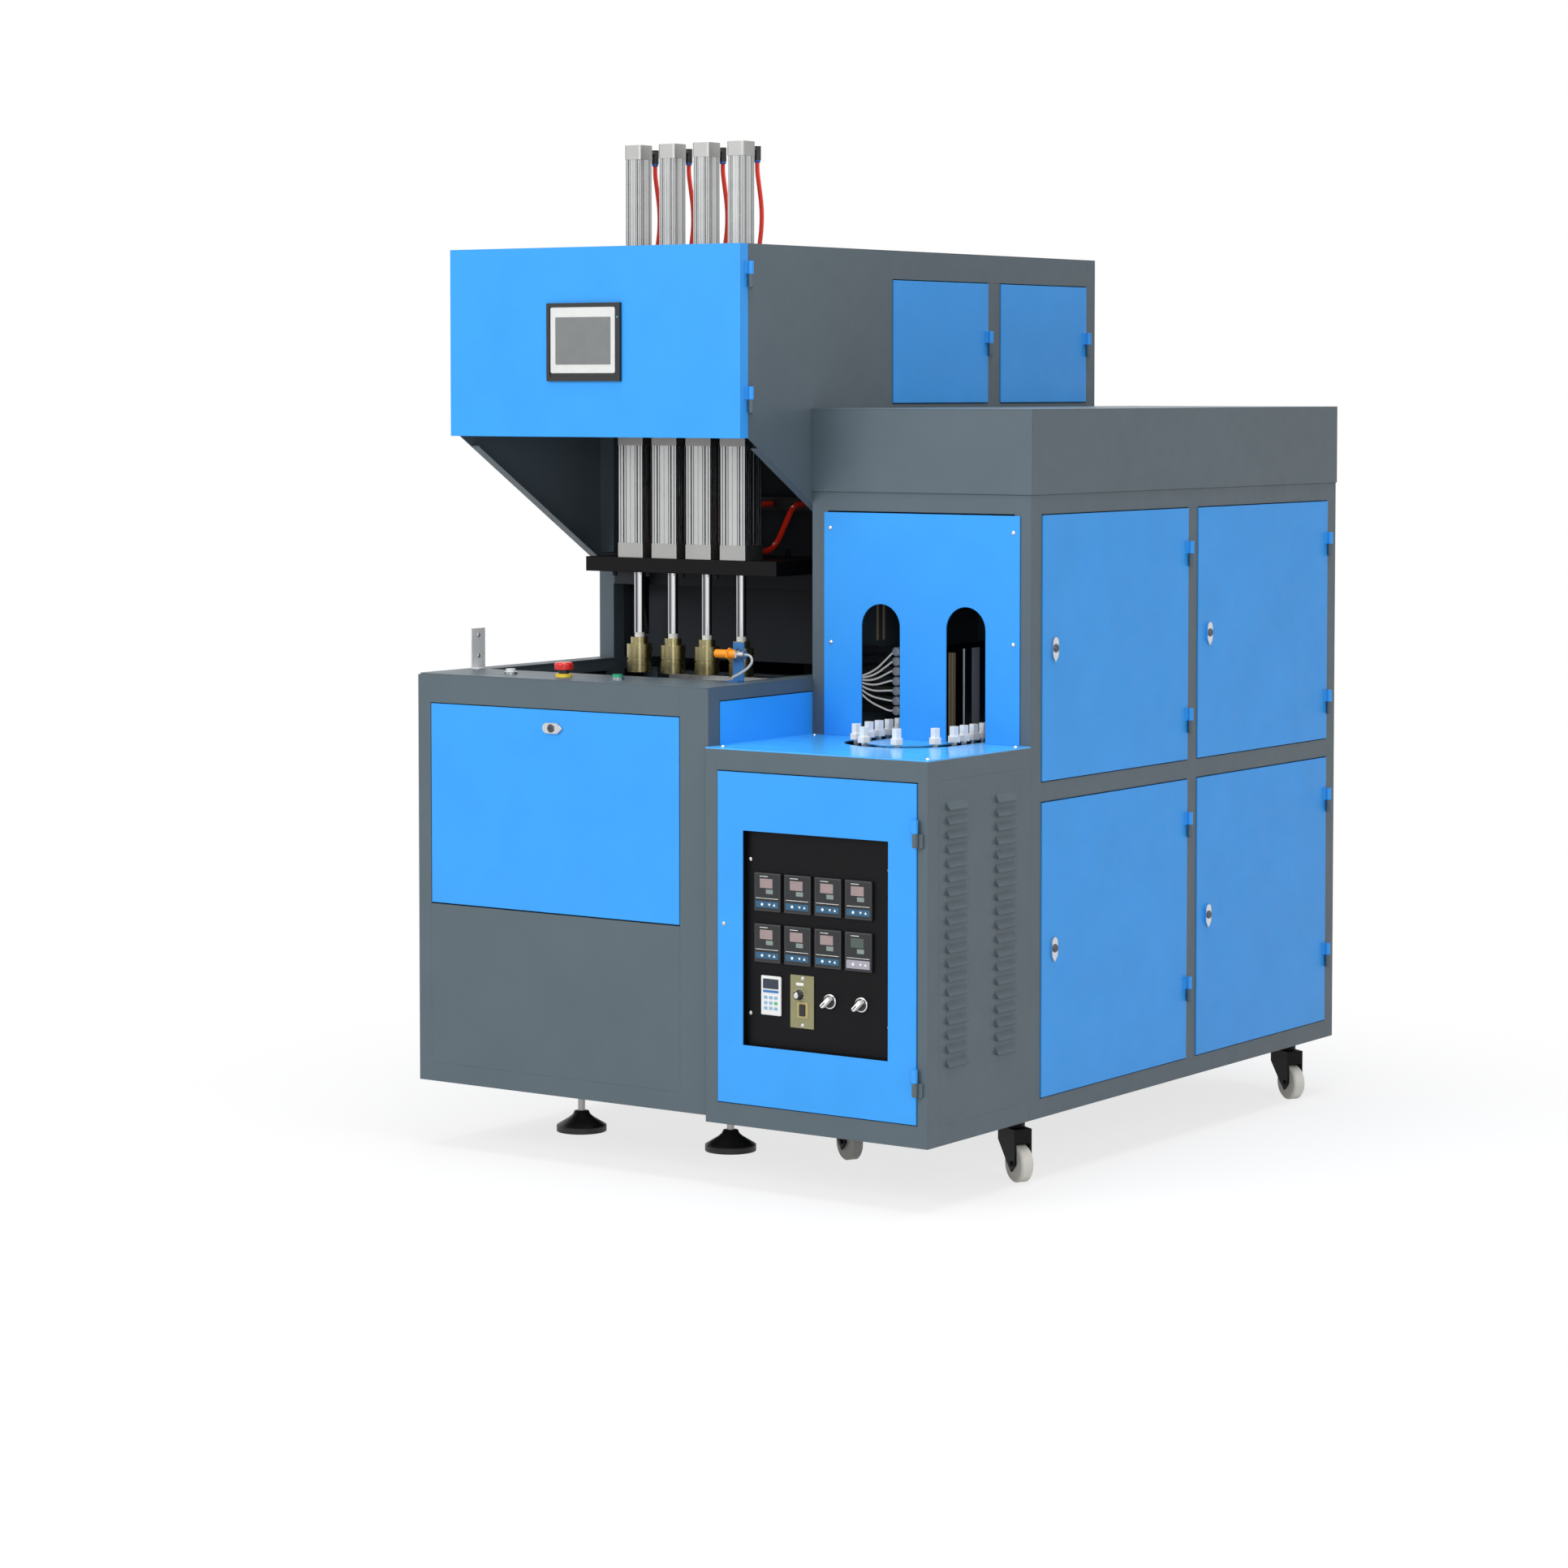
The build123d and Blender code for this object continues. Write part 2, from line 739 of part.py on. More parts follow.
def touch_screen():
    """Operator screen: a flat case with a shallow recess for its face."""
    front = hood_front - hood_door_depth - panel_gap / 2
    right = screen_left + screen_width
    top = screen_bottom + screen_height
    case = block(screen_left, right, front - screen_thickness, front, screen_bottom, top)
    case -= block(screen_left + screen_border, right - screen_border,
                  front - screen_thickness - cut_overrun, front - screen_thickness + screen_recess,
                  screen_bottom + screen_border, top - screen_border)
    return [case]


def upper_door_edges():
    return (upper_mid_post_y, blow_depth - tube)


def upper_hinge_heights():
    return (upper_sill + (upper_head - upper_sill) / 2,)


def upper_door(edge, start):
    """Blue door on the right of the upper cabinet, between two posts."""
    width = edge - start - 2 * panel_gap
    height = upper_head - upper_sill - 2 * panel_gap
    door = hinged_pan(width, height, [z - upper_sill - panel_gap for z in upper_hinge_heights()])
    return [on_side(blow_width, edge, upper_sill + panel_gap) * door]


# Blow stations

def cylinder_plate():
    """Thick plate that carries the blow stations, with two ribs below it and its bolts."""
    front = row_y - seal_square / 2 - barrel_inset * 2
    rear = column_front + tube
    wing = rear - plate_wing_depth
    body = block(row_x - plate_width / 2, row_x + plate_width / 2, front, wing, plate_bottom, plate_top)
    for x in station_xs:
        body -= rod_z(x, row_y, plate_bottom - cut_overrun, plate_top + cut_overrun, seal_rod_radius + free_clearance)
    pieces = [body, block(tube, blow_width - tube, wing, rear, plate_bottom, plate_top)]
    rib = [(wing, plate_bottom), (column_front, plate_bottom), (column_front, plate_bottom - rib_drop)]
    for x in (row_x - plate_width / 2, row_x + plate_width / 2 - rib_thickness):
        pieces.append(side_plate(rib, x, x + rib_thickness))
    for x in station_xs:
        bolt_x = x - station_pitch / 2
        bolt_y = row_y - seal_square / 2 + plate_bolt_radius
        pieces.append(prism_z(bolt_x, bolt_y, plate_bottom - plate_bolt_height, plate_bottom, plate_bolt_radius, 6))
        pieces.append(prism_z(x, wing + plate_wing_depth / 2, plate_top, plate_top + 2 * plate_bolt_height, plate_bolt_radius, 6))
    return pieces


def barrel(x, square, z0, height, bore):
    """Extruded cylinder barrel with long grooves in each face."""
    side = square - 2 * barrel_inset
    profile = Rectangle(side, side)
    groove = Rectangle(side * groove_width_share, 2 * groove_depth)
    for turn in range(4):
        for share in groove_place_shares:
            profile -= Rot(0, 0, 90 * turn) * Pos(share * side, side / 2) * groove
    profile -= Circle(bore)
    return Pos(x, row_y, z0) * extrude(profile, height)


def cap(x, square, z0, height, hole):
    """Square end cap of a cylinder, bored for the rod."""
    body = block(x - square / 2, x + square / 2, row_y - square / 2, row_y + square / 2, z0, z0 + height)
    return body - rod_z(x, row_y, z0 - cut_overrun, z0 + height + cut_overrun, hole) if hole else body


def air_cylinders():
    """Seal cylinders on the plate and the slimmer stretch cylinders above them."""
    pieces = []
    seal_hole = seal_rod_radius + running_clearance
    stretch_hole = stretch_rod_radius + running_clearance
    barrel_z = plate_top + seal_cap_height
    upper_z = seal_top + stretch_cap_height
    for x in station_xs:
        pieces.append(cap(x, seal_square, plate_top, seal_cap_height, seal_hole))
        pieces.append(barrel(x, seal_square, barrel_z, seal_barrel_height, seal_bore_radius))
        pieces.append(cap(x, seal_square, seal_top - seal_cap_height, seal_cap_height, stretch_hole))
        pieces.append(cap(x, stretch_square, seal_top, stretch_cap_height, stretch_hole))
        pieces.append(barrel(x, stretch_square, upper_z, stretch_barrel_height, stretch_bore_radius))
        pieces.append(cap(x, stretch_square, stretch_top - stretch_cap_height, stretch_cap_height, 0))
    return pieces


def seal_rod(x):
    """Hollow piston rod of a seal cylinder, with its piston."""
    piston_bottom = plate_top + seal_cap_height
    piston_top = piston_bottom + seal_piston_height
    body = rod_z(x, row_y, rod_end, piston_top, seal_rod_radius)
    body += rod_z(x, row_y, piston_bottom, piston_top, seal_bore_radius - running_clearance)
    return [body - rod_z(x, row_y, rod_end - cut_overrun, piston_top + cut_overrun, stretch_rod_radius + free_clearance)]


def blow_head(x):
    """Turned blow head: white ring, collar and two thick discs, with its air port at the rear."""
    bore = stretch_rod_radius + free_clearance
    core = head_radius - head_groove_depth
    steps = [
        (ring_radius, ring_height),
        (collar_radius, collar_height),
        (head_radius, head_upper_height),
        (core, head_groove_height),
        (head_radius, head_lower_height),
    ]
    outline = [(bore, rod_end)]
    z = rod_end
    for radius, height in steps:
        outline += [(radius, z), (radius, z - height)]
        z -= height
    outline.append((bore, z))
    section = Plane.XZ * make_face(Polyline(*outline, close=True).edges())
    turned = Pos(x, row_y, 0) * revolve(section, Axis.Z)
    port_z = head_top - collar_height - head_upper_height / 2
    reach = row_y + core
    port = rod_y(x, port_z, reach, row_y + head_radius + head_port_length, head_port_radius)
    return [turned + port]


def stretch_rods():
    """Stretch rods with their pistons, one through each station."""
    piston_bottom = stretch_top - stretch_cap_height - stretch_headroom - stretch_piston_height
    pieces = []
    for x in station_xs:
        rod = rod_z(x, row_y, head_bottom, piston_bottom, stretch_rod_radius)
        piston = rod_z(x, row_y, piston_bottom, piston_bottom + stretch_piston_height,
                       stretch_bore_radius - running_clearance)
        pieces.append(rod + piston)
    return pieces


# Air supply

def elbow_place(x):
    """Where an upper tube leaves its elbow."""
    y = row_y + stretch_square / 2 + elbow_reach
    return (x, y, stretch_top - stretch_cap_height / 2 - elbow_drop)


def lower_port(x):
    """Where a lower tube leaves its fitting."""
    return (x, row_y + seal_square / 2 + fitting_length, plate_top + seal_cap_height / 2)


def return_port():
    """Where the first station's return tube leaves its fitting, at the top of the seal cylinder."""
    return (station_xs[0], row_y + seal_square / 2 + fitting_length, seal_top - seal_cap_height / 2)


def supply_half():
    """Half length of the supply bar on the column wall."""
    return station_count * station_pitch / 2


def air_fittings():
    """Elbows, straight fittings and the two supply bars of the air tubes."""
    pieces = []
    for x in station_xs:
        back = row_y + stretch_square / 2
        z = stretch_top - stretch_cap_height / 2
        elbow = rod_z(x, back + elbow_reach, z - elbow_drop, z + fitting_radius, fitting_radius)
        pieces.append(elbow + rod_y(x, z, back, back + elbow_reach, tube_radius))
        back = row_y + seal_square / 2
        z = plate_top + seal_cap_height / 2
        pieces.append(rod_y(x, z, back, back + fitting_length, fitting_radius))
    x, y, z = return_port()
    pieces.append(rod_y(x, z, y - fitting_length, y, fitting_radius))
    half = supply_half()
    y = elbow_place(row_x)[1]
    bar_low = manifold_top - manifold_height
    pieces.append(block(tube, blow_width - tube, y - manifold_depth / 2, y + manifold_depth / 2, bar_low, manifold_top))
    wall_z = lower_port(row_x)[2] + lower_run_z
    pieces.append(block(row_x - half, row_x + half, column_wall - manifold_depth, column_wall,
                        wall_z - manifold_height / 2, wall_z + manifold_height / 2))
    return pieces


def air_tubes():
    """Red air tubes between the cylinders and the supply bars."""
    tubes = []
    for x in station_xs:
        top = elbow_place(x)
        fall = top[2] - manifold_top
        points = []
        for down, side in zip(upper_fall_shares, upper_bow_shares):
            points.append((x + side * upper_bow, top[1] + side * upper_bow, top[2] - down * fall))
        tubes.append(along(points, tube_radius))
        start = lower_port(x)
        reach = column_wall - manifold_depth - start[1]
        shares = zip(lower_turn_shares, lower_reach_shares)
        route = [(x + a * lower_run_x, start[1] + b * reach, start[2] + a * lower_run_z) for a, b in shares]
        tubes.append(along(route, lower_tube_radius))
    x, y, z = return_port()
    end_x = row_x - supply_half()
    end_y = column_wall - manifold_depth / 2
    drop = z - lower_port(x)[2] - lower_run_z
    route = []
    for reach, side, fall in zip(bow_reach_shares, bow_side_shares, bow_fall_shares):
        base_x = x if reach < corner_share else end_x
        route.append((base_x - side * bow_swing, y + reach * (end_y - y), z - fall * drop))
    tubes.append(along(route, tube_radius))
    return tubes


# Mould clamp

def tie_bar_places():
    """Centres of the four tie bars in X and Z."""
    half = platen_width / 2 - tie_bar_inset
    return [(row_x + side * half, z) for side in (-1, 1) for z in (platen_bottom + tie_bar_inset, platen_top - tie_bar_inset)]


def mould_holes(y0, y1):
    """Threaded holes for one mould half."""
    holes = []
    for side in (-1, 1):
        for level in (-1, 1):
            x = row_x + side * mould_bolt_spacing_x / 2
            z = platen_middle + level * mould_bolt_spacing_z / 2
            holes.append(rod_y(x, z, y0 - cut_overrun, y1 + cut_overrun, mould_bolt_radius))
    return holes


def platen(y0):
    """Mould platen with its threaded holes."""
    body = block(row_x - platen_width / 2, row_x + platen_width / 2, y0, y0 + platen_thickness, platen_bottom, platen_top)
    for hole in mould_holes(y0, y0 + platen_thickness):
        body -= hole
    return body


def tie_bars():
    """Four tie bars from the front platen to the yoke."""
    return [rod_y(x, z, platen_front_face, tie_bar_rear, tie_bar_radius) for x, z in tie_bar_places()]


def clamp_cylinder():
    """Yoke plate at the ends of the tie bars, with the clamp cylinder bolted to it."""
    yoke = block(row_x - platen_width / 2, row_x + platen_width / 2, tie_bar_rear, tie_bar_rear + yoke_thickness,
                 platen_bottom, platen_top)
    mouth = tie_bar_rear - clamp_cylinder_length
    drum = rod_y(row_x, platen_middle, mouth, tie_bar_rear, clamp_cylinder_radius)
    drum -= rod_y(row_x, platen_middle, mouth - cut_overrun, tie_bar_rear - yoke_thickness,
                  clamp_rod_radius + running_clearance)
    return [yoke, drum]


def rear_platen():
    """Rear platen, which slides on the tie bars, with the clamp rod."""
    body = platen(platen_rear_face)
    for x, z in tie_bar_places():
        body -= rod_y(x, z, platen_rear_face - cut_overrun, platen_rear_face + platen_thickness + cut_overrun,
                      tie_bar_radius + running_clearance)
    mouth = tie_bar_rear - clamp_cylinder_length
    reach = clamp_cylinder_length - yoke_thickness - clamp_rod_gap
    shaft = rod_y(row_x, platen_middle, platen_rear_face + platen_thickness, mouth + reach, clamp_rod_radius)
    return [body, shaft]


# Controls on the table

def button_places():
    return [blow_width * share for share in button_x_shares]


def ring(x, radius, hole, height):
    """Flat ring on the table."""
    body = rod_z(x, button_y, base_top, base_top + height, radius)
    return body - rod_z(x, button_y, base_top - cut_overrun, base_top + height + cut_overrun, hole)


def button_bezels():
    """Collars of the two push buttons and of the stop button."""
    left, stop, right = button_places()
    hole = button_radius + running_clearance
    return [
        ring(left, bezel_radius, hole, bezel_height),
        ring(right, bezel_radius, hole, bezel_height),
        ring(stop, stop_ring_radius, stop_stem_radius + running_clearance, stop_ring_height),
    ]


def push_button(x):
    low = base_top + button_travel + knuckle_gap
    return [rod_z(x, button_y, low, low + button_height, button_radius)]


def stop_head(x):
    """Red mushroom head on its stem."""
    low = base_top + stop_travel + knuckle_gap
    cap_low = base_top + stop_ring_height + stop_travel + stop_neck
    stem = rod_z(x, button_y, low, cap_low, stop_stem_radius)
    head = rod_z(x, button_y, cap_low, cap_low + stop_head_height, stop_head_radius)
    rim = head.edges().filter_by(GeomType.CIRCLE).group_by(Axis.Z)[-1]
    return [stem + fillet(rim, stop_head_height / 3)]


def sensor_bracket():
    """Bracket of the light-beam sensor and the post of its reflector."""
    z = base_top
    upright = block(bracket_x, bracket_x + bracket_width, beam_y, beam_y + plate, z, z + bracket_height)
    foot = block(bracket_x, bracket_x + bracket_width, beam_y - bracket_foot, beam_y, z, z + plate)
    post = block(reflector_x, reflector_x + plate, beam_y - bracket_foot, beam_y - bracket_foot + reflector_width,
                 z, z + reflector_height)
    heel = block(reflector_x + plate, reflector_x + bracket_foot, beam_y - bracket_foot,
                 beam_y - bracket_foot + reflector_width - bracket_foot, z, z + plate)
    return [upright + foot, post + heel]


def sensor_axis():
    """Sensor centre line in Y and Z, in front of its bracket."""
    return (beam_y - sensor_axis_forward, base_top + beam_height)


def photo_sensor():
    """Tubular light sensor with its two nuts, clamped to the front of the bracket."""
    y, z = sensor_axis()
    body = rod_x(y, z, sensor_left, sensor_left + sensor_length, sensor_radius)
    for x in (bracket_x, bracket_x + bracket_width - sensor_nut_length):
        body += Pos(x, y, z) * Rot(0, 90, 0) * extrude(RegularPolygon(sensor_nut_radius, 6), sensor_nut_length)
    pad = block(bracket_x, bracket_x + bracket_width, y, beam_y, z - sensor_radius / 2, z + sensor_radius / 2)
    return [body + pad]


def leads():
    """Sensor cable to the table, and the lamps' white leads."""
    y, z = sensor_axis()
    start = (sensor_left + sensor_length, y, z)
    route = [tuple(a + b for a, b in zip(start, step)) for step in cable_route]
    pieces = [along(route, cable_radius)]
    for row in range(lamp_rows):
        pieces.append(lamp_lead(lamp_first + row * lamp_pitch, row))
    return pieces


def levelling_feet():
    """Four feet under the blow unit: disc, cone, hexagon nut and stem."""
    pieces = []
    for x in (foot_inset_x, blow_width - foot_inset_x):
        for y in (foot_inset_y, blow_depth - foot_inset_y):
            disc = rod_z(x, y, 0, foot_height, foot_radius)
            cone = Pos(x, y, foot_height + foot_cone_height / 2) * Cone(foot_radius, foot_cone_radius, foot_cone_height)
            nut_low = base_bottom - foot_nut_height
            pieces.append(disc + cone)
            pieces.append(rod_z(x, y, foot_height + foot_cone_height, nut_low, foot_stem_radius))
            pieces.append(prism_z(x, y, nut_low, base_bottom, foot_nut_radius, 6))
    for y in (foot_inset_y, blow_depth - foot_inset_y):
        pieces.append(block(tube, blow_width - tube, y - tube / 2, y + tube / 2, base_bottom, base_bottom + tube))
    return pieces


# Heater, fixed parts

def heater_frame():
    """Welded tubes of the heater, the caster plates and the grey hinge halves."""
    right = heater_right - tube
    inner_left = heater_left + tube
    rear = heater_rear - tube
    low = heater_bottom + tube
    under = heater_table_top - plate
    front_back = heater_front + tube
    posts = side_door_posts()
    bars = [
        block(heater_left, heater_left + heater_left_stile, heater_front, front_back, heater_bottom, under),
        block(heater_right - heater_stile, heater_right, heater_front, front_back, heater_bottom, under),
        block(heater_left + heater_left_stile, heater_right - heater_stile, heater_front, front_back,
              under - heater_top_band, under),
        block(heater_left + heater_left_stile, heater_right - heater_stile, heater_front, front_back,
              heater_bottom, heater_bottom + heater_bottom_band),
    ]
    for x in (heater_left, right):
        for y in posts:
            bars.append(block(x, x + tube, y, y + tube, heater_bottom, roof_bottom))
        for y0, y1 in zip(posts, posts[1:]):
            for z in (heater_bottom, mid_rail_bottom, roof_bottom - tube):
                bars.append(block(x, x + tube, y0 + tube, y1, z, z + tube))
        bars.append(block(x, x + tube, front_back, tall_front, heater_bottom, low))
        bars.append(block(x, x + tube, front_back, tall_front, under - tube, under))
    for y in (tall_front, rear):
        for z in (heater_bottom, mid_rail_bottom, roof_bottom - tube):
            bars.append(block(inner_left, right, y, y + tube, z, z + tube))
    bars.append(block(inner_left, right, posts[1], posts[1] + tube, heater_bottom, low))
    rail_top = mid_rail_bottom + tube
    island = (lane_radius - slot_width) / 2
    middle = (lane_front + lane_rear) / 2
    for y in (lane_front, middle):
        bars.append(block(lane_x - island, lane_x + island, y, y + tube, rail_top, under))
    bars.append(block(lane_x - island, lane_x + island, lane_front, tall_front, mid_rail_bottom, rail_top))
    bars.append(block(inner_left, right, middle, middle + tube, mid_rail_bottom, rail_top))
    half = strand_width / 2
    for x in (lane_x - lane_radius, lane_x + lane_radius):
        bars.append(block(x - half, x + half, lane_front, lane_rear, rail_top, chain_bottom - strand_height))
    for x, y in caster_places():
        half = caster_plate / 2
        base = heater_bottom - caster_plate_thickness
        bars.append(block(x - half, x + half, y - half, y + half, base, heater_bottom))
    for edge in side_door_edges():
        for z in lower_hinges() + upper_hinges():
            bars.append(on_side(heater_right, edge, 0) * frame_knuckle(z))
    for z in control_hinges():
        bars.append(Pos(heater_right - heater_stile, heater_front, 0) * frame_knuckle(z))
    return bars


def side_door_posts():
    """Front faces of the tall part's posts in Y."""
    last = heater_rear - tube
    return [tall_front, (tall_front + last) / 2, last]


def side_door_edges():
    """Hinge edges of the side doors in Y."""
    return side_door_posts()[1:]


def louvred_sheet():
    """Side sheet of the table part, with two columns of pressed louvres."""
    low = heater_bottom + tube
    high = heater_table_top - plate - tube
    body = block(heater_right - sheet, heater_right, heater_front + tube, tall_front, low, high)
    start, end = louvre_zone_shares
    first = low + start * (high - low)
    louvre_pitch = (end - start) * (high - low) / louvre_rows
    for y in louvre_columns:
        for row in range(louvre_rows):
            z = first + row * louvre_pitch
            wedge = Polyline((0, 0), (louvre_depth, 0), (0, louvre_height), close=True)
            face = Plane(origin=(heater_right, heater_front + y, z), x_dir=(1, 0, 0), z_dir=(0, -1, 0))
            body += extrude(face * make_face(wedge.edges()), -louvre_width)
    return body


def heater_skins():
    """Grey sheets of the heater: table part sides, left wall and roof."""
    low = heater_bottom + tube
    posts = side_door_posts()
    left = heater_left + sheet
    over = roof_overhang
    roof_x0 = heater_left
    roof_x1 = heater_right + over
    roof_y0 = tall_front - over
    roof_y1 = heater_rear
    skins = [
        louvred_sheet(),
        block(heater_left, left, heater_front + tube, tall_front, low, heater_table_top - plate - tube),
        block(roof_x0, roof_x1, roof_y0, roof_y1, heater_top - sheet, heater_top),
        block(roof_x0, roof_x1, roof_y0, roof_y0 + sheet, roof_bottom, heater_top - sheet),
        block(roof_x0, roof_x1, roof_y1 - sheet, roof_y1, roof_bottom, heater_top - sheet),
        block(roof_x0, roof_x0 + sheet, roof_y0 + sheet, roof_y1 - sheet, roof_bottom, heater_top - sheet),
        block(roof_x1 - sheet, roof_x1, roof_y0 + sheet, roof_y1 - sheet, roof_bottom, heater_top - sheet),
    ]
    for y0, y1 in zip(posts, posts[1:]):
        skins.append(block(heater_left, left, y0 + tube, y1, low, mid_rail_bottom))
        skins.append(block(heater_left, left, y0 + tube, y1, mid_rail_bottom + tube, roof_bottom - tube))
    return skins


def lane_loop(radius):
    """Stadium face of the mandrel lanes, grown to a radius."""
    length = lane_rear - lane_front
    middle = (lane_front + lane_rear) / 2
    return Pos(lane_x, middle) * Rot(0, 0, 90) * SlotCenterToCenter(length, 2 * radius)


def lane_ring(width):
    """Stadium band of a width along the lanes' centre line."""
    return lane_loop(lane_radius + width / 2) - lane_loop(lane_radius - width / 2)


def heater_table():
    """Blue table plate with the long oval slot, and the island inside the slot."""
    low = heater_table_top - plate
    front = Pos(heater_middle, (heater_front + tall_front) / 2) * Rectangle(heater_width, table_depth)
    inner_depth = heater_rear - tube - tall_front
    inner = Pos(heater_middle, tall_front + inner_depth / 2) * Rectangle(heater_width - 2 * tube, inner_depth)
    outer = front + inner - lane_loop(lane_radius + slot_width / 2)
    island = lane_loop(lane_radius - slot_width / 2)
    return [Pos(0, 0, low) * extrude(outer, plate), Pos(0, 0, low) * extrude(island, plate)]


def arch_panel():
    """Blue front sheet of the oven with an arch over each lane."""
    left = heater_left + arch_panel_sides[0]
    right = heater_right - arch_panel_sides[1]
    body = block(left, right, tall_front - plate, tall_front, heater_table_top, arch_panel_top)
    radius = arch_width / 2
    spring = arch_top - radius
    for side in (-1, 1):
        x = lane_x + side * lane_radius
        body -= block(x - radius, x + radius, tall_front - plate - cut_overrun, tall_front + cut_overrun,
                      heater_table_top - cut_overrun, spring)
        body -= rod_y(x, spring, tall_front - plate - cut_overrun, tall_front + cut_overrun, radius)
    return [body]


# Heater doors and control panel

def lower_hinges():
    low = heater_bottom + tube
    return [low + lower_door_hinge_inset, mid_rail_bottom - hinge_inset_upper]


def upper_hinges():
    low = mid_rail_bottom + tube
    return [low + hinge_inset_lower, roof_bottom - tube - hinge_inset_upper]


def control_hinges():
    low = heater_bottom + heater_bottom_band
    high = heater_table_top - plate - heater_top_band
    return [low + hinge_inset_lower, high - hinge_inset_upper]


def side_door(index, upper):
    """Blue hinged door on the heater's right side, with its key lock."""
    posts = side_door_posts()
    edge = posts[index + 1]
    width = edge - posts[index] - tube - 2 * panel_gap
    low = mid_rail_bottom + tube if upper else heater_bottom + tube
    high = roof_bottom - tube if upper else mid_rail_bottom
    heights = upper_hinges() if upper else lower_hinges()
    drop = door_lock_drop if upper else lower_lock_drop
    height = high - low - 2 * panel_gap
    door = hinged_pan(width, height, [z - low - panel_gap for z in heights])
    lock = lock_solids(-panel_gap - width + lock_inset, -door_proud, height - drop, True)
    place = on_side(heater_right, edge, low + panel_gap)
    return [place * door, place * lock]


def control_door():
    """Blue door of the control panel, with its window."""
    low = heater_bottom + heater_bottom_band + panel_gap
    high = heater_table_top - plate - heater_top_band - panel_gap
    width = heater_width - heater_left_stile - heater_stile - 2 * panel_gap
    door = hinged_pan(width, high - low, [z - low for z in control_hinges()])
    placed = Pos(heater_right - heater_stile, heater_front, low) * door
    placed -= block(window_left, window_right, control_face - cut_overrun, control_face + sheet + cut_overrun,
                    window_bottom, window_top)
    return [placed]


def control_panel():
    """Black panel behind the window, on standoffs from the door."""
    left = window_left - panel_overlap
    right = window_right + panel_overlap
    low = window_bottom - panel_overlap
    high = window_top + panel_overlap
    body = block(left, right, panel_face, panel_face + control_panel_thickness, low, high)
    inset = panel_overlap / 2
    for x in (left + inset, right - inset):
        for z in (low + inset, high - inset):
            body += rod_y(x, z, control_face + sheet, panel_face, standoff_radius)
    return [body]


def instruments():
    """Regulators in two rows, the drive's keypad and the speed setter's plate."""
    pieces = []
    for row in range(regulator_rows):
        for column in range(regulator_columns):
            x = window_left + regulator_inset + column * regulator_pitch_x
            z = window_top - regulator_drop - row * regulator_pitch_z
            pieces.append(block(x, x + regulator_width, panel_face - regulator_proud, panel_face,
                                z - regulator_height, z))
    x = window_left + keypad_inset
    z = window_bottom + keypad_lift
    pieces.append(block(x, x + keypad_width, panel_face - keypad_proud, panel_face, z, z + keypad_height))
    x = window_left + speed_inset
    z = window_bottom + speed_lift
    pieces.append(block(x, x + speed_width, panel_face - speed_proud, panel_face, z, z + speed_height))
    return pieces


def speed_knob():
    """Small round knob on the speed setter."""
    base = panel_face - speed_proud
    return [rod_y(window_left + knob_inset, window_bottom + knob_lift, base - knob_height, base, knob_radius)]


def selector_places():
    """Centres of the two selectors in X."""
    return [window_left + inset for inset in selector_insets]


def selector(x):
    """Selector switch: round flange with a bar handle set to the lower left."""
    base = panel_face
    selector_z = window_bottom + selector_lift
    flange = rod_y(x, selector_z, base - selector_flange, base, selector_radius)
    hub = rod_y(x, selector_z, base - selector_height, base - selector_flange, selector_radius - selector_flange)
    face = base - selector_height
    bar = Box(selector_handle_width, selector_handle_height, selector_handle_length)
    handle = Pos(x, face - selector_handle_height / 2, selector_z) * Rot(0, selector_angle, 0) * bar
    return [flange + hub + handle]


# Heater, inside

def loop_places():
    """Points and headings of the mandrels, close on the straights and spread out round the bends."""
    straight = lane_rear - lane_front
    count = round(straight / mandrel_pitch)
    for i in range(count):
        y = lane_front + (i + 0.5) * straight / count
        yield lane_x - lane_radius, y, 90.0
        yield lane_x + lane_radius, y, 90.0
    for i in range(bend_mandrels):
        turn = pi * (i + 0.5) / bend_mandrels
        heading = 90.0 + 180.0 * turn / pi
        yield lane_x - lane_radius * cos(turn), lane_front - lane_radius * sin(turn), heading
        yield lane_x + lane_radius * cos(turn), lane_rear + lane_radius * sin(turn), heading


def mandrel_chain():
    """Chain strand round the lanes and, on it, a carrier with a capped mandrel for each preform."""
    link_top = chain_bottom + chain_height
    cap_low = heater_table_top + mandrel_lift
    collar_top = cap_low + mandrel_collar_height
    pieces = [Pos(0, 0, chain_bottom - strand_height) * extrude(lane_ring(strand_width), strand_height)]
    for x, y, heading in loop_places():
        link = Box(mandrel_pitch * link_length_share, chain_width, chain_height)
        body = Pos(x, y, link_top - chain_height / 2) * Rot(0, 0, heading) * link
        body += prism_z(x, y, link_top, cap_low, mandrel_neck_radius, 6)
        body += prism_z(x, y, cap_low, collar_top, mandrel_collar_radius, 6)
        body += prism_z(x, y, collar_top, cap_low + mandrel_height, mandrel_radius, 6)
        pieces.append(body)
    return pieces


def sprocket_level():
    """Lower face of the drive sprocket."""
    return chain_bottom + (chain_height - sprocket_thickness) / 2


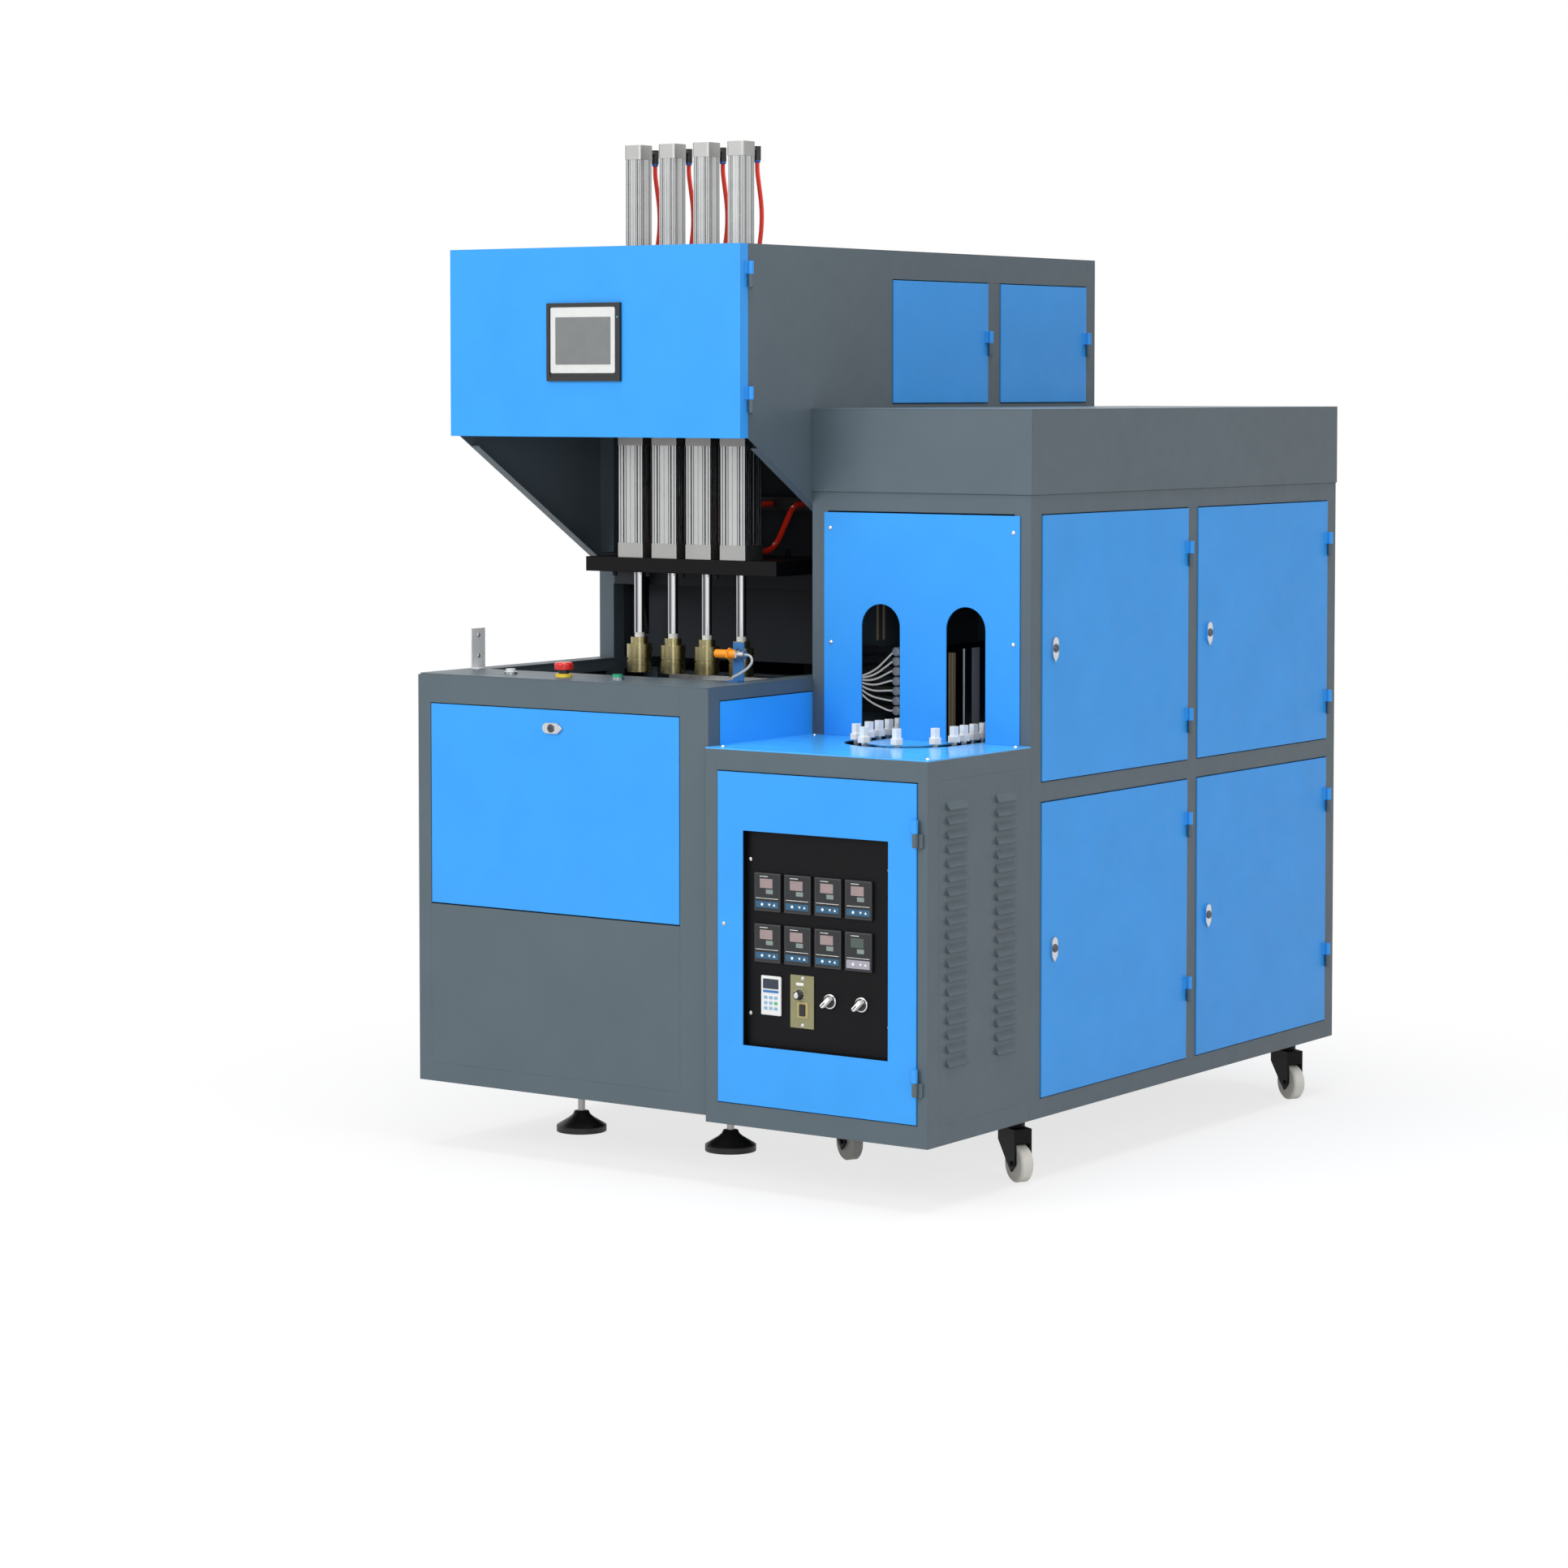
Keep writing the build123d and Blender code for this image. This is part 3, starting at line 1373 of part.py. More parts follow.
def drive_sprocket():
    """Toothed wheel at the rear bend, on its upright shaft."""
    tip = lane_radius - chain_width / 2 - sprocket_clearance
    root = tip - sprocket_tooth
    outline = []
    step = 2 * pi / sprocket_teeth
    for tooth in range(sprocket_teeth):
        for share, radius in zip(sprocket_tooth_shares, (root, root, tip, tip)):
            angle = (tooth + share) * step
            outline.append((radius * cos(angle), radius * sin(angle)))
    face = make_face(Polyline(*outline, close=True).edges())
    low = sprocket_level()
    wheel = Pos(lane_x, lane_rear, low) * extrude(face, sprocket_thickness)
    return [wheel + rod_z(lane_x, lane_rear, mid_rail_bottom - shaft_engagement, low, shaft_radius)]


def gear_motor():
    """Gear motor under the drive sprocket, hung from a beam across the frame."""
    half = gearbox_width / 2
    low = mid_rail_bottom - gearbox_height
    bore = rod_z(lane_x, lane_rear, mid_rail_bottom - shaft_engagement - free_clearance,
                 mid_rail_bottom + tube, shaft_radius + running_clearance)
    beam = block(heater_left + tube, heater_right - tube, lane_rear - half, lane_rear + half,
                 mid_rail_bottom, mid_rail_bottom + motor_beam_height)
    box = block(lane_x - half, lane_x + half, lane_rear - half, lane_rear + half, low, mid_rail_bottom)
    motor = rod_z(lane_x, lane_rear, low - motor_height, low, motor_radius)
    return [beam - bore, box - bore, motor]


def lamp_xs():
    """Lamp planes on the outer sides of the two lanes."""
    return (lane_x - lane_radius - lamp_offset, lane_x + lane_radius + lamp_offset)


def lamp_bank():
    """Two stacks of lamps with their end caps, holder plates and facing reflectors."""
    pieces = []
    half = lamp_plate_width / 2
    top = lamp_first + (lamp_rows - 1) * lamp_pitch + half
    for x in lamp_xs():
        for row in range(lamp_rows):
            z = lamp_first + row * lamp_pitch
            lamp = octagon_y(x, z, lamp_front + lamp_cap_length, lamp_rear - lamp_cap_length, lamp_radius)
            for y in (lamp_front, lamp_rear - lamp_cap_length):
                lamp += octagon_y(x, z, y, y + lamp_cap_length, lamp_cap_radius)
            pieces.append(lamp)
        for y in (lamp_front + lamp_cap_length, lamp_rear - lamp_cap_length - lamp_plate_thickness):
            holder = block(x - half, x + half, y, y + lamp_plate_thickness, heater_table_top, top)
            for row in range(lamp_rows):
                z = lamp_first + row * lamp_pitch
                holder -= octagon_y(x, z, y - cut_overrun, y + lamp_plate_thickness + cut_overrun, lamp_radius)
            pieces.append(holder)
    front = tall_front + reflector_setback
    for side in (-1, 1):
        x = lane_x + side * (lane_radius - reflector_offset)
        pieces.append(block(x, x + reflector_thickness, front, lamp_rear, heater_table_top, top))
    return pieces


def lamp_lead(z, row):
    """White lead from a lamp's cap at the left lane, with a little slack, to the left wall."""
    x = lamp_xs()[0] - lamp_cap_radius * cos(pi / 8)
    y = lamp_front + (row + 0.5) * lead_pitch
    wall = heater_left + sheet
    gland_z = lamp_first + (lamp_rows - 1) * lamp_pitch / 2
    points = [
        (x, y, z),
        (x - lead_stub, y, z),
        ((x + wall) / 2, y, (z + gland_z) / 2 - lead_slack),
        (wall + lead_stub, y, gland_z),
        (wall, y, gland_z),
    ]
    return along(points, lead_radius)


# Casters

def caster_places():
    xs = (heater_left + caster_inset_x, heater_right - caster_inset_x)
    ys = (tall_front + caster_inset_front, heater_rear - caster_inset_rear)
    return [(x, y) for x in xs for y in ys]


def at_caster(x, y):
    """Local frame of a caster, turned to its heading, with the trail along +x."""
    return Pos(x, y, 0) * Rot(0, 0, caster_heading)


def caster_fork():
    """Swivel head and bent fork, in the caster's local frame."""
    top = heater_bottom - caster_plate_thickness - knuckle_gap
    head_low = top - caster_head_height
    bridge_low = 2 * caster_wheel_radius + fork_clearance
    inner = caster_wheel_width / 2 + fork_gap
    outer = inner + fork_thickness
    head = rod_z(0, 0, head_low, top, caster_head_radius)
    bridge = block(-caster_head_radius, caster_trail + fork_width / 2, -outer, outer, bridge_low, head_low)
    body = head + bridge
    slope = [
        (-caster_head_radius, bridge_low),
        (caster_trail + fork_width / 2, bridge_low),
        (caster_trail + fork_width / 2, caster_wheel_radius),
        (caster_trail, caster_wheel_radius - fork_width / 2),
        (caster_trail - fork_width / 2, caster_wheel_radius),
    ]
    cheek = make_face(Polyline(*slope, close=True).edges())
    for y in (inner, -outer):
        body += Pos(0, y, 0) * extrude(Plane.XZ * cheek, fork_thickness, dir=(0, 1, 0))
    body += rod_y(caster_trail, caster_wheel_radius, -outer - fork_thickness, outer + fork_thickness, axle_radius)
    return body


def caster_wheel():
    """Nylon wheel with a raised hub, in the caster's local frame."""
    half = caster_wheel_width / 2
    tyre = rod_y(caster_trail, caster_wheel_radius, -half, half, caster_wheel_radius)
    rims = tyre.edges().filter_by(GeomType.CIRCLE)
    tyre = chamfer(rims, half / 4)
    return tyre - rod_y(caster_trail, caster_wheel_radius, -half - cut_overrun, half + cut_overrun,
                        axle_radius + running_clearance)


# Assembly

def machine():
    """Every node of the machine, by name, still set out from the blow unit's front left corner."""
    nodes = {
        "base_frame": base_frame(),
        "blow_skins": blow_skins(),
        "side_panels": side_panels(),
        "table_deck": table_deck(),
        "front_panel": front_panel(),
        "hood_door": hood_door(),
        "touch_screen": touch_screen(),
        "upper_door_front": upper_door(upper_mid_post_y, column_front + tube),
        "upper_door_rear": upper_door(blow_depth - tube, upper_mid_post_y + upper_mid_post),
        "cylinder_plate": cylinder_plate(),
        "air_cylinders": air_cylinders(),
        "air_fittings": air_fittings(),
        "air_tubes": air_tubes(),
        "stretch_rods": stretch_rods(),
        "front_platen": [platen(platen_front_face - platen_thickness)],
        "tie_bars": tie_bars(),
        "clamp_cylinder": clamp_cylinder(),
        "rear_platen": rear_platen(),
        "sensor_bracket": sensor_bracket(),
        "photo_sensor": photo_sensor(),
        "leads": leads(),
        "button_bezels": button_bezels(),
        "left_button": push_button(button_places()[0]),
        "right_button": push_button(button_places()[2]),
        "stop_head": stop_head(button_places()[1]),
        "levelling_feet": levelling_feet(),
        "heater_frame": heater_frame(),
        "heater_skins": heater_skins(),
        "heater_table": heater_table(),
        "arch_panel": arch_panel(),
        "control_door": control_door(),
        "control_panel": control_panel(),
        "instruments": instruments(),
        "speed_knob": speed_knob(),
        "lamp_selector": selector(selector_places()[0]),
        "fan_selector": selector(selector_places()[1]),
        "lamp_bank": lamp_bank(),
        "mandrel_chain": mandrel_chain(),
        "drive_sprocket": drive_sprocket(),
        "gear_motor": gear_motor(),
    }
    for i, x in enumerate(station_xs, start=1):
        nodes[f"seal_rod_{i}"] = seal_rod(x)
        nodes[f"blow_head_{i}"] = blow_head(x)
    for index, place in enumerate(("front", "rear")):
        nodes[f"upper_side_door_{place}"] = side_door(index, True)
        nodes[f"lower_side_door_{place}"] = side_door(index, False)
    for i, (x, y) in enumerate(caster_places(), start=1):
        nodes[f"caster_fork_{i}"] = [at_caster(x, y) * caster_fork()]
        nodes[f"caster_wheel_{i}"] = [at_caster(x, y) * caster_wheel()]
    return nodes


def to_origin(nodes):
    """Shift that puts the origin on the floor under the middle of the machine's box."""
    box = Compound(children=[s for solids in nodes.values() for item in solids for s in item.solids()]).bounding_box()
    return Pos(-(box.min.X + box.max.X) / 2, -(box.min.Y + box.max.Y) / 2, -box.min.Z)


def main():
    """Write one STEP file for each node."""
    os.makedirs("parts", exist_ok=True)
    nodes = machine()
    shift = to_origin(nodes)
    for name, solids in nodes.items():
        whole = Compound(children=[shift * s for item in solids for s in item.solids()])
        export_step(whole, os.path.join("parts", f"{name}.step"))


if __name__ == "__main__":
    main()
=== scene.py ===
"""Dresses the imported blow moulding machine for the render: paints, metals, instruments and small fittings.

Lengths in the tables below are millimetres, set out as in the CAD model from the blow unit's front left corner
at floor level: X to the right, Y to the rear, Z up. Blender works in metres.
"""

import math

import bmesh
import bpy
from mathutils import Matrix, Vector


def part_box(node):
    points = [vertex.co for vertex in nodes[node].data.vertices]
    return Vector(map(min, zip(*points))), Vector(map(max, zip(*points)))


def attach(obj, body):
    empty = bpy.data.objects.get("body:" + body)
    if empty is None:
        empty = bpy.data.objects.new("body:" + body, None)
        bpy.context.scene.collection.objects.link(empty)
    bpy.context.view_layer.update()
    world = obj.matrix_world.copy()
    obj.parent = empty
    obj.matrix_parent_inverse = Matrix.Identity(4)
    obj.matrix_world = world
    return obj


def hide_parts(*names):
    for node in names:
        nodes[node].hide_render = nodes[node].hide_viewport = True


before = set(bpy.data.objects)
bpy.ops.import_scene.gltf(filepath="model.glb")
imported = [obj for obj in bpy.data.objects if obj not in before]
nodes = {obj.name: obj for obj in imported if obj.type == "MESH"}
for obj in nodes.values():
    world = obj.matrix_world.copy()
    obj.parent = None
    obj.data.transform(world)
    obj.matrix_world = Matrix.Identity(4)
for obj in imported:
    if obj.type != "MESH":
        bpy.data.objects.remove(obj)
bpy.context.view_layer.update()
deck_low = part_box("table_deck")[0]

# Photograph: camera place in the machine's millimetres, heading and tilt in degrees,
# and focal length in pixels of the photograph's own frame
IMAGE_SIZE = 1932
CAMERA_AT = (5613.0, -6660.7, 1634.8)
CAMERA_YAW = 34.945
CAMERA_PITCH = 2.954
CAMERA_FOCAL = 4987.1
CAMERA_SHIFT = -0.12
CAMERA_REACH = 200.0
SENSOR = 36.0

# Levels and lines that the finishes and pieces follow
HEATER_RIGHT = 1311.0
HEATER_FRONT = -10.0
TALL_FRONT = 375.0
TABLE_TOP = 902.0
ROW_Y = 462.0
STATION_XS = [385.0 + (i - 1.5) * 92.0 for i in range(4)]
PLATE_TOP = 1261.0
SEAL_LEVELS = (1261.0, 1293.0, 1507.0, 1539.0)
STRETCH_LEVELS = (1539.0, 1570.0, 2132.0, 2163.0)
PANEL_FACE = 3.0
FOOT_XS = (183.0, 587.0)
FOOT_YS = (332.0, 1208.0)
LAMP_FRONT = TALL_FRONT + 112.0
LAMP_X = 907.0
LAMP_FIRST = TABLE_TOP + 47.0
LAMP_PITCH = 21.0
LAMP_ROWS = 7
LAMP_LEVELS = [LAMP_FIRST + row * LAMP_PITCH for row in range(LAMP_ROWS)]

# Instruments on the control panel: left, lowest level, width, height and how far the case stands proud
KEYPAD = (903.0, 364.0, 49.0, 80.0, 4.0)
SPEED_PLATE = (974.0, 344.0, 57.0, 107.0, 2.0)
REGULATOR_LEFT = 888.0
REGULATOR_TOP = 653.0
REGULATOR_PITCH = (74.0, 104.0)
REGULATOR_SIZE = (64.0, 78.0)
REGULATOR_PROUD = 6.0
REGULATOR_COUNT = 8
REGULATOR_COLUMNS = 4
KNOB_AT = (996.0, 411.0)
SELECTORS = (("lamp_selector", 1070.0), ("fan_selector", 1146.0))
SELECTOR_Z = 404.0

# Directions
ACROSS = (1, 0, 0)
BACK = (0, 1, 0)
UP = (0, 0, 1)
DOWN = (0, 0, -1)
TO_FRONT = (0, -1, 0)
FRONT = (ACROSS, UP)
SIDE = (DOWN, BACK)

# Colours, linear
BLUE = (0.034, 0.310, 0.800)
# The blue paint made lighter for the heater's table: painted light standing in for the top light on it
TABLE_BLUE_TOP_LIT = (0.060, 0.400, 0.900)
PANEL_BLUE = (0.036, 0.360, 0.880)
SOFT_BLUE = (0.03, 0.16, 0.42)
GREY = (0.085, 0.114, 0.134)
DARK = (0.008, 0.012, 0.018)
BLACK = (0.005, 0.005, 0.006)
SILVER = (0.46, 0.47, 0.48)
ALUMINIUM = (0.52, 0.53, 0.53)
CAP_GREY = (0.36, 0.36, 0.35)
CHROME = (0.74, 0.75, 0.76)
# Dark of the painted reflection streaks on the chrome rods
CHROME_REFLECTION_DARK = (0.07, 0.07, 0.08)
STEEL = (0.45, 0.45, 0.45)
BRIGHT_STEEL = (0.60, 0.61, 0.62)
MANDREL_STEEL = (0.55, 0.55, 0.54)
STEM_STEEL = (0.35, 0.35, 0.35)
SCREW_ZINC = (0.60, 0.60, 0.58)
ZINC = (0.36, 0.32, 0.17)
BRASS = (0.26, 0.20, 0.12)
WHITE = (0.82, 0.82, 0.80)
CLEAR = (0.70, 0.74, 0.72)
REFLECTOR = (0.80, 0.81, 0.82)
NYLON = (0.70, 0.68, 0.62)
CASTING = (0.10, 0.11, 0.12)
FOOT_BLACK = (0.02, 0.02, 0.022)
RED = (0.70, 0.015, 0.012)
TUBE_RED = (0.80, 0.030, 0.012)
YELLOW = (0.85, 0.62, 0.03)
ORANGE = (0.90, 0.30, 0.01)
GREEN = (0.02, 0.38, 0.20)
LAMP_GREEN = (0.05, 0.40, 0.16)
OLIVE = (0.23, 0.22, 0.11)
CABLE = (0.20, 0.23, 0.25)
QUARTZ = (0.52, 0.47, 0.38)
CERAMIC = (0.33, 0.34, 0.35)


def at(x, y, z):
    """Point of the frame, in metres, from machine millimetres."""
    return Vector((deck_low.x + x / 1000, deck_low.y + y / 1000, z / 1000))


# Materials

class Shader:
    """Principled material whose parts are wired up step by step."""

    EVEN = (1.0, 1.0, 1.0)
    NOISE_RANGE = (0.3, 0.7)
    # Surface directions across which the chrome's painted reflection goes from dark to bright
    REFLECTION_STREAK_RANGE = (0.12, 0.46)
    BUMP_STRENGTH = 0.6
    BEVEL_SAMPLES = 4

    def __init__(self, name, colour, roughness, metallic=0.0):
        self.material = bpy.data.materials.new(name)
        self.material.use_nodes = True
        self.material.diffuse_color = (*colour, 1.0)
        self.tree = self.material.node_tree
        self.bsdf = self.tree.nodes["Principled BSDF"]
        self.bsdf.inputs["Base Color"].default_value = (*colour, 1.0)
        self.bsdf.inputs["Roughness"].default_value = roughness
        self.bsdf.inputs["Metallic"].default_value = metallic
        self.place = self.node("ShaderNodeTexCoord").outputs["Object"]

    def node(self, kind, **values):
        made = self.tree.nodes.new(kind)
        for key, value in values.items():
            setattr(made, key, value)
        return made

    def link(self, source, target):
        self.tree.links.new(source, target)

    def product(self, first, second):
        """Product of two sockets."""
        made = self.node("ShaderNodeMath", operation="MULTIPLY")
        self.link(first, made.inputs[0])
        self.link(second, made.inputs[1])
        return made.outputs[0]

    def noise(self, scale, detail=3.0, stretch=EVEN):
        """Noise over the object, optionally stretched along an axis."""
        spread = self.node("ShaderNodeMapping")
        spread.inputs["Scale"].default_value = stretch
        self.link(self.place, spread.inputs["Vector"])
        made = self.node("ShaderNodeTexNoise")
        made.inputs["Scale"].default_value = scale
        made.inputs["Detail"].default_value = detail
        self.link(spread.outputs["Vector"], made.inputs["Vector"])
        return made.outputs["Fac"]

    def between(self, source, low, high):
        """Number between low and high that follows a noise."""
        made = self.node("ShaderNodeMapRange")
        made.inputs["From Min"].default_value, made.inputs["From Max"].default_value = self.NOISE_RANGE
        made.inputs["To Min"].default_value = low
        made.inputs["To Max"].default_value = high
        self.link(source, made.inputs["Value"])
        return made.outputs["Result"]

    def blend(self, mask, first, second):
        """Colour that goes from first to second with a mask; either may be a colour or a socket."""
        made = self.node("ShaderNodeMix", data_type="RGBA")
        self.link(mask, made.inputs["Factor"])
        for socket, value in ((made.inputs[6], first), (made.inputs[7], second)):
            if isinstance(value, tuple):
                socket.default_value = (*value, 1.0)
            else:
                self.link(value, socket)
        return made.outputs[2]

    def colour(self, source):
        self.link(source, self.bsdf.inputs["Base Color"])

    def colour_now(self):
        """What feeds the base colour at this point."""
        socket = self.bsdf.inputs["Base Color"]
        return socket.links[0].from_socket if socket.links else tuple(socket.default_value)[:3]

    def number_now(self, name):
        """What feeds a number at this point."""
        socket = self.bsdf.inputs[name]
        return socket.links[0].from_socket if socket.links else socket.default_value

    def mottle(self, tint, scale=7.0):
        """Slow change of colour over the surface."""
        base = self.colour_now()
        darker = tuple(c * (1 - tint) for c in base)
        lighter = tuple(min(1.0, c * (1 + tint)) for c in base)
        self.colour(self.blend(self.between(self.noise(scale), 0.0, 1.0), darker, lighter))
        return self

    def wear(self, spread, scale=30.0, stretch=EVEN):
        """Roughness that changes a little over the surface."""
        middle = self.bsdf.inputs["Roughness"].default_value
        source = self.between(self.noise(scale, 4.0, stretch), middle - spread, middle + spread)
        self.link(source, self.bsdf.inputs["Roughness"])
        return self

    def texture(self, height, scale, round_edges=0.0, stretch=EVEN):
        """Fine bump, over edges that look rounded by a radius in millimetres."""
        bump = self.node("ShaderNodeBump")
        bump.inputs["Strength"].default_value = self.BUMP_STRENGTH
        bump.inputs["Distance"].default_value = height / 1000
        self.link(self.noise(scale, 2.0, stretch), bump.inputs["Height"])
        if round_edges:
            bevel = self.node("ShaderNodeBevel", samples=self.BEVEL_SAMPLES)
            bevel.inputs["Radius"].default_value = round_edges / 1000
            self.link(bevel.outputs["Normal"], bump.inputs["Normal"])
        self.link(bump.outputs["Normal"], self.bsdf.inputs["Normal"])
        return self

    def within(self, axis, low, high):
        """Mask that is 1 between two machine levels along an axis."""
        shift = (deck_low.x, deck_low.y, 0.0)[axis]
        split = self.node("ShaderNodeSeparateXYZ")
        self.link(self.place, split.inputs["Vector"])
        sides = []
        for operation, level in (("GREATER_THAN", low), ("LESS_THAN", high)):
            side = self.node("ShaderNodeMath", operation=operation)
            side.inputs[1].default_value = shift + level / 1000
            self.link(split.outputs[axis], side.inputs[0])
            sides.append(side.outputs[0])
        return self.product(*sides)

    def inside(self, x_range, y_range, z_range):
        """Mask that is 1 in a block of the machine."""
        mask = self.product(self.within(0, *x_range), self.within(1, *y_range))
        return self.product(mask, self.within(2, *z_range))

    def zone(self, mask, colour, roughness, metallic):
        """Other finish where the mask is 1. A number that stays the same all over keeps its own socket."""
        self.colour(self.blend(mask, self.colour_now(), colour))
        for name, value in (("Roughness", roughness), ("Metallic", metallic)):
            now = self.number_now(name)
            if now == value:
                continue
            made = self.node("ShaderNodeMix", data_type="FLOAT")
            self.link(mask, made.inputs["Factor"])
            if isinstance(now, float):
                made.inputs[2].default_value = now
            else:
                self.link(now, made.inputs[2])
            made.inputs[3].default_value = value
            self.link(made.outputs[0], self.bsdf.inputs[name])
        return self

    def painted_reflection_streaks(self, dark):
        """Painted reflection: bright and dark streaks on upright rods, set by surface direction, standing in for
        the bands a plated surface mirrors.
        """
        split = self.node("ShaderNodeSeparateXYZ")
        self.link(self.node("ShaderNodeTexCoord").outputs["Normal"], split.inputs["Vector"])
        size = self.node("ShaderNodeMath", operation="ABSOLUTE")
        self.link(self.product(split.outputs[0], split.outputs[1]), size.inputs[0])
        spread = self.node("ShaderNodeMapRange")
        spread.inputs["From Min"].default_value, spread.inputs["From Max"].default_value = self.REFLECTION_STREAK_RANGE
        self.link(size.outputs[0], spread.inputs["Value"])
        self.colour(self.blend(spread.outputs["Result"], dark, self.colour_now()))
        return self

    def glow(self, colour, strength):
        """Faint light of its own; on pieces that are no lamps it is painted light, for where the studio lamps don't
        reach.
        """
        self.bsdf.inputs["Emission Color"].default_value = (*colour, 1.0)
        self.bsdf.inputs["Emission Strength"].default_value = strength
        return self


def paint(name, colour, roughness=0.38, shine=0.3, grain=0.012):
    """Stove enamel with a trace of orange peel and softly rounded edges."""
    made = Shader(name, colour, roughness).mottle(0.035).wear(0.05)
    made.bsdf.inputs["Specular IOR Level"].default_value = shine
    return made.texture(grain, 420.0, round_edges=2.2)


def metal(name, colour, roughness, stretch=Shader.EVEN):
    """Machined or plated metal with fine tool marks."""
    made = Shader(name, colour, roughness, 1.0).mottle(0.03, 25.0).wear(0.04, 60.0, stretch)
    return made.texture(0.002, 300.0, stretch=stretch)


def plastic(name, colour, roughness=0.35):
    """Moulded plastic with a faint grain."""
    made = Shader(name, colour, roughness).mottle(0.04, 40.0).wear(0.05, 80.0)
    return made.texture(0.01, 900.0, round_edges=0.5)


blue_paint = paint("blue_paint", BLUE)
grey_paint = paint("grey_paint", GREY, 0.42)
# Lighter blue on the table: painted top light
table_paint = paint("table_paint", TABLE_BLUE_TOP_LIT, 0.2, 0.5, 0.002)
black_paint = paint("black_paint", BLACK, 0.4, 0.12)
black_plastic = plastic("black_plastic", BLACK, 0.42)
# Chrome rods carry painted reflection streaks
chrome = metal("chrome", CHROME, 0.08, (1.0, 1.0, 0.05)).painted_reflection_streaks(CHROME_REFLECTION_DARK)
steel = metal("steel", STEEL, 0.34)
bright_steel = metal("bright_steel", BRIGHT_STEEL, 0.12)
white_plastic = plastic("white_plastic", WHITE)
green_plastic = plastic("green_plastic", GREEN, 0.2)
clear_plastic = plastic("clear_button", CLEAR, 0.15)
tube_red = plastic("red_tube", TUBE_RED, 0.22)
nylon = plastic("nylon", NYLON, 0.45)
cast = paint("casting_paint", CASTING, 0.5)
barrels = metal("barrel_aluminium", ALUMINIUM, 0.26, (1.0, 1.0, 0.02))
caps = metal("cap_aluminium", CAP_GREY, 0.45)

# Painted shade: inner walls painted dark where shade falls, in blocks given by their ranges along X, Y and Z
PAINTED_SHADE = (DARK, 0.6, 0.0)
FRAME_SHADE_BLOCK = ((42.0, 728.0), (600.0, 700.0), (1040.0, 1500.0))
SKIN_SHADE_BLOCK = ((30.0, 740.0), (690.0, 712.0), (1000.0, 1880.0))
ALL_LEVELS = (0.0, 2200.0)
PANEL_SHADE_BLOCKS = (
    ((1.1, 30.0), (0.0, 1519.0), ALL_LEVELS),
    ((740.0, 768.9), (0.0, 1519.0), ALL_LEVELS),
    ((30.0, 740.0), (1500.0, 1538.9), ALL_LEVELS),
    ((800.0, 1290.0), (1690.0, 1714.9), ALL_LEVELS),
)

# Grey and blue paints with dark painted shade in those blocks
frame_paint = paint("frame_paint", GREY, 0.42)
frame_paint.zone(frame_paint.inside(*FRAME_SHADE_BLOCK), *PAINTED_SHADE)
skin_paint = paint("skin_paint", GREY, 0.42)
skin_paint.zone(skin_paint.inside(*SKIN_SHADE_BLOCK), *PAINTED_SHADE)
panel_paint = paint("panel_paint", PANEL_BLUE)
for block in PANEL_SHADE_BLOCKS:
    panel_paint.zone(panel_paint.inside(*block), *PAINTED_SHADE)

# Nodes of more than one finish, split by the machine's own levels: axis, low, high and the other finish
stop_red = plastic("stop_red", RED, 0.25)
mandrels = metal("mandrel_steel", MANDREL_STEEL, 0.3)
bezels = metal("bezel_chrome", SILVER, 0.2)
bracket = paint("bracket_blue", SOFT_BLUE)
sensor = plastic("sensor_orange", ORANGE, 0.25)
# The white lamp leads glow faintly: painted light where the studio lamps don't reach them
wires = plastic("lamp_leads", WHITE, 0.35).glow(WHITE, 0.22)
heads = metal("blow_head_zinc", ZINC, 0.26)
lamps = metal("lamp_quartz", QUARTZ, 0.3)
feet = plastic("foot_black", FOOT_BLACK, 0.5)
for shader, axis, low, high, other in (
    (stop_red, 2, 1000.0, 1037.0, (BLACK, 0.4, 0.0)),
    (mandrels, 2, TABLE_TOP + 4.9, TABLE_TOP + 100.0, (WHITE, 0.4, 0.0)),
    (bezels, 0, 310.0, 360.0, (YELLOW, 0.35, 0.0)),
    (bracket, 0, 0.0, 100.0, (REFLECTOR, 0.4, 0.0)),
    (sensor, 0, 728.0, 760.0, (SILVER, 0.25, 1.0)),
    (wires, 0, 600.0, 771.0, (CABLE, 0.45, 0.0)),
    (heads, 2, 1085.0, 1096.0, (WHITE, 0.35, 0.0)),
    (lamps, 0, 990.0, 1110.0, (BLACK, 0.35, 0.0)),
    (lamps, 1, LAMP_FRONT - 1.0, LAMP_FRONT + 29.5, (CERAMIC, 0.45, 0.0)),
    # A band of painted shade on the lamps, just behind their ceramic ends
    (lamps, 1, LAMP_FRONT + 29.5, LAMP_FRONT + 35.0, PAINTED_SHADE),
    (feet, 2, 30.0, 142.0, (STEM_STEEL, 0.3, 1.0)),
):
    shader.zone(shader.within(axis, low, high), *other)

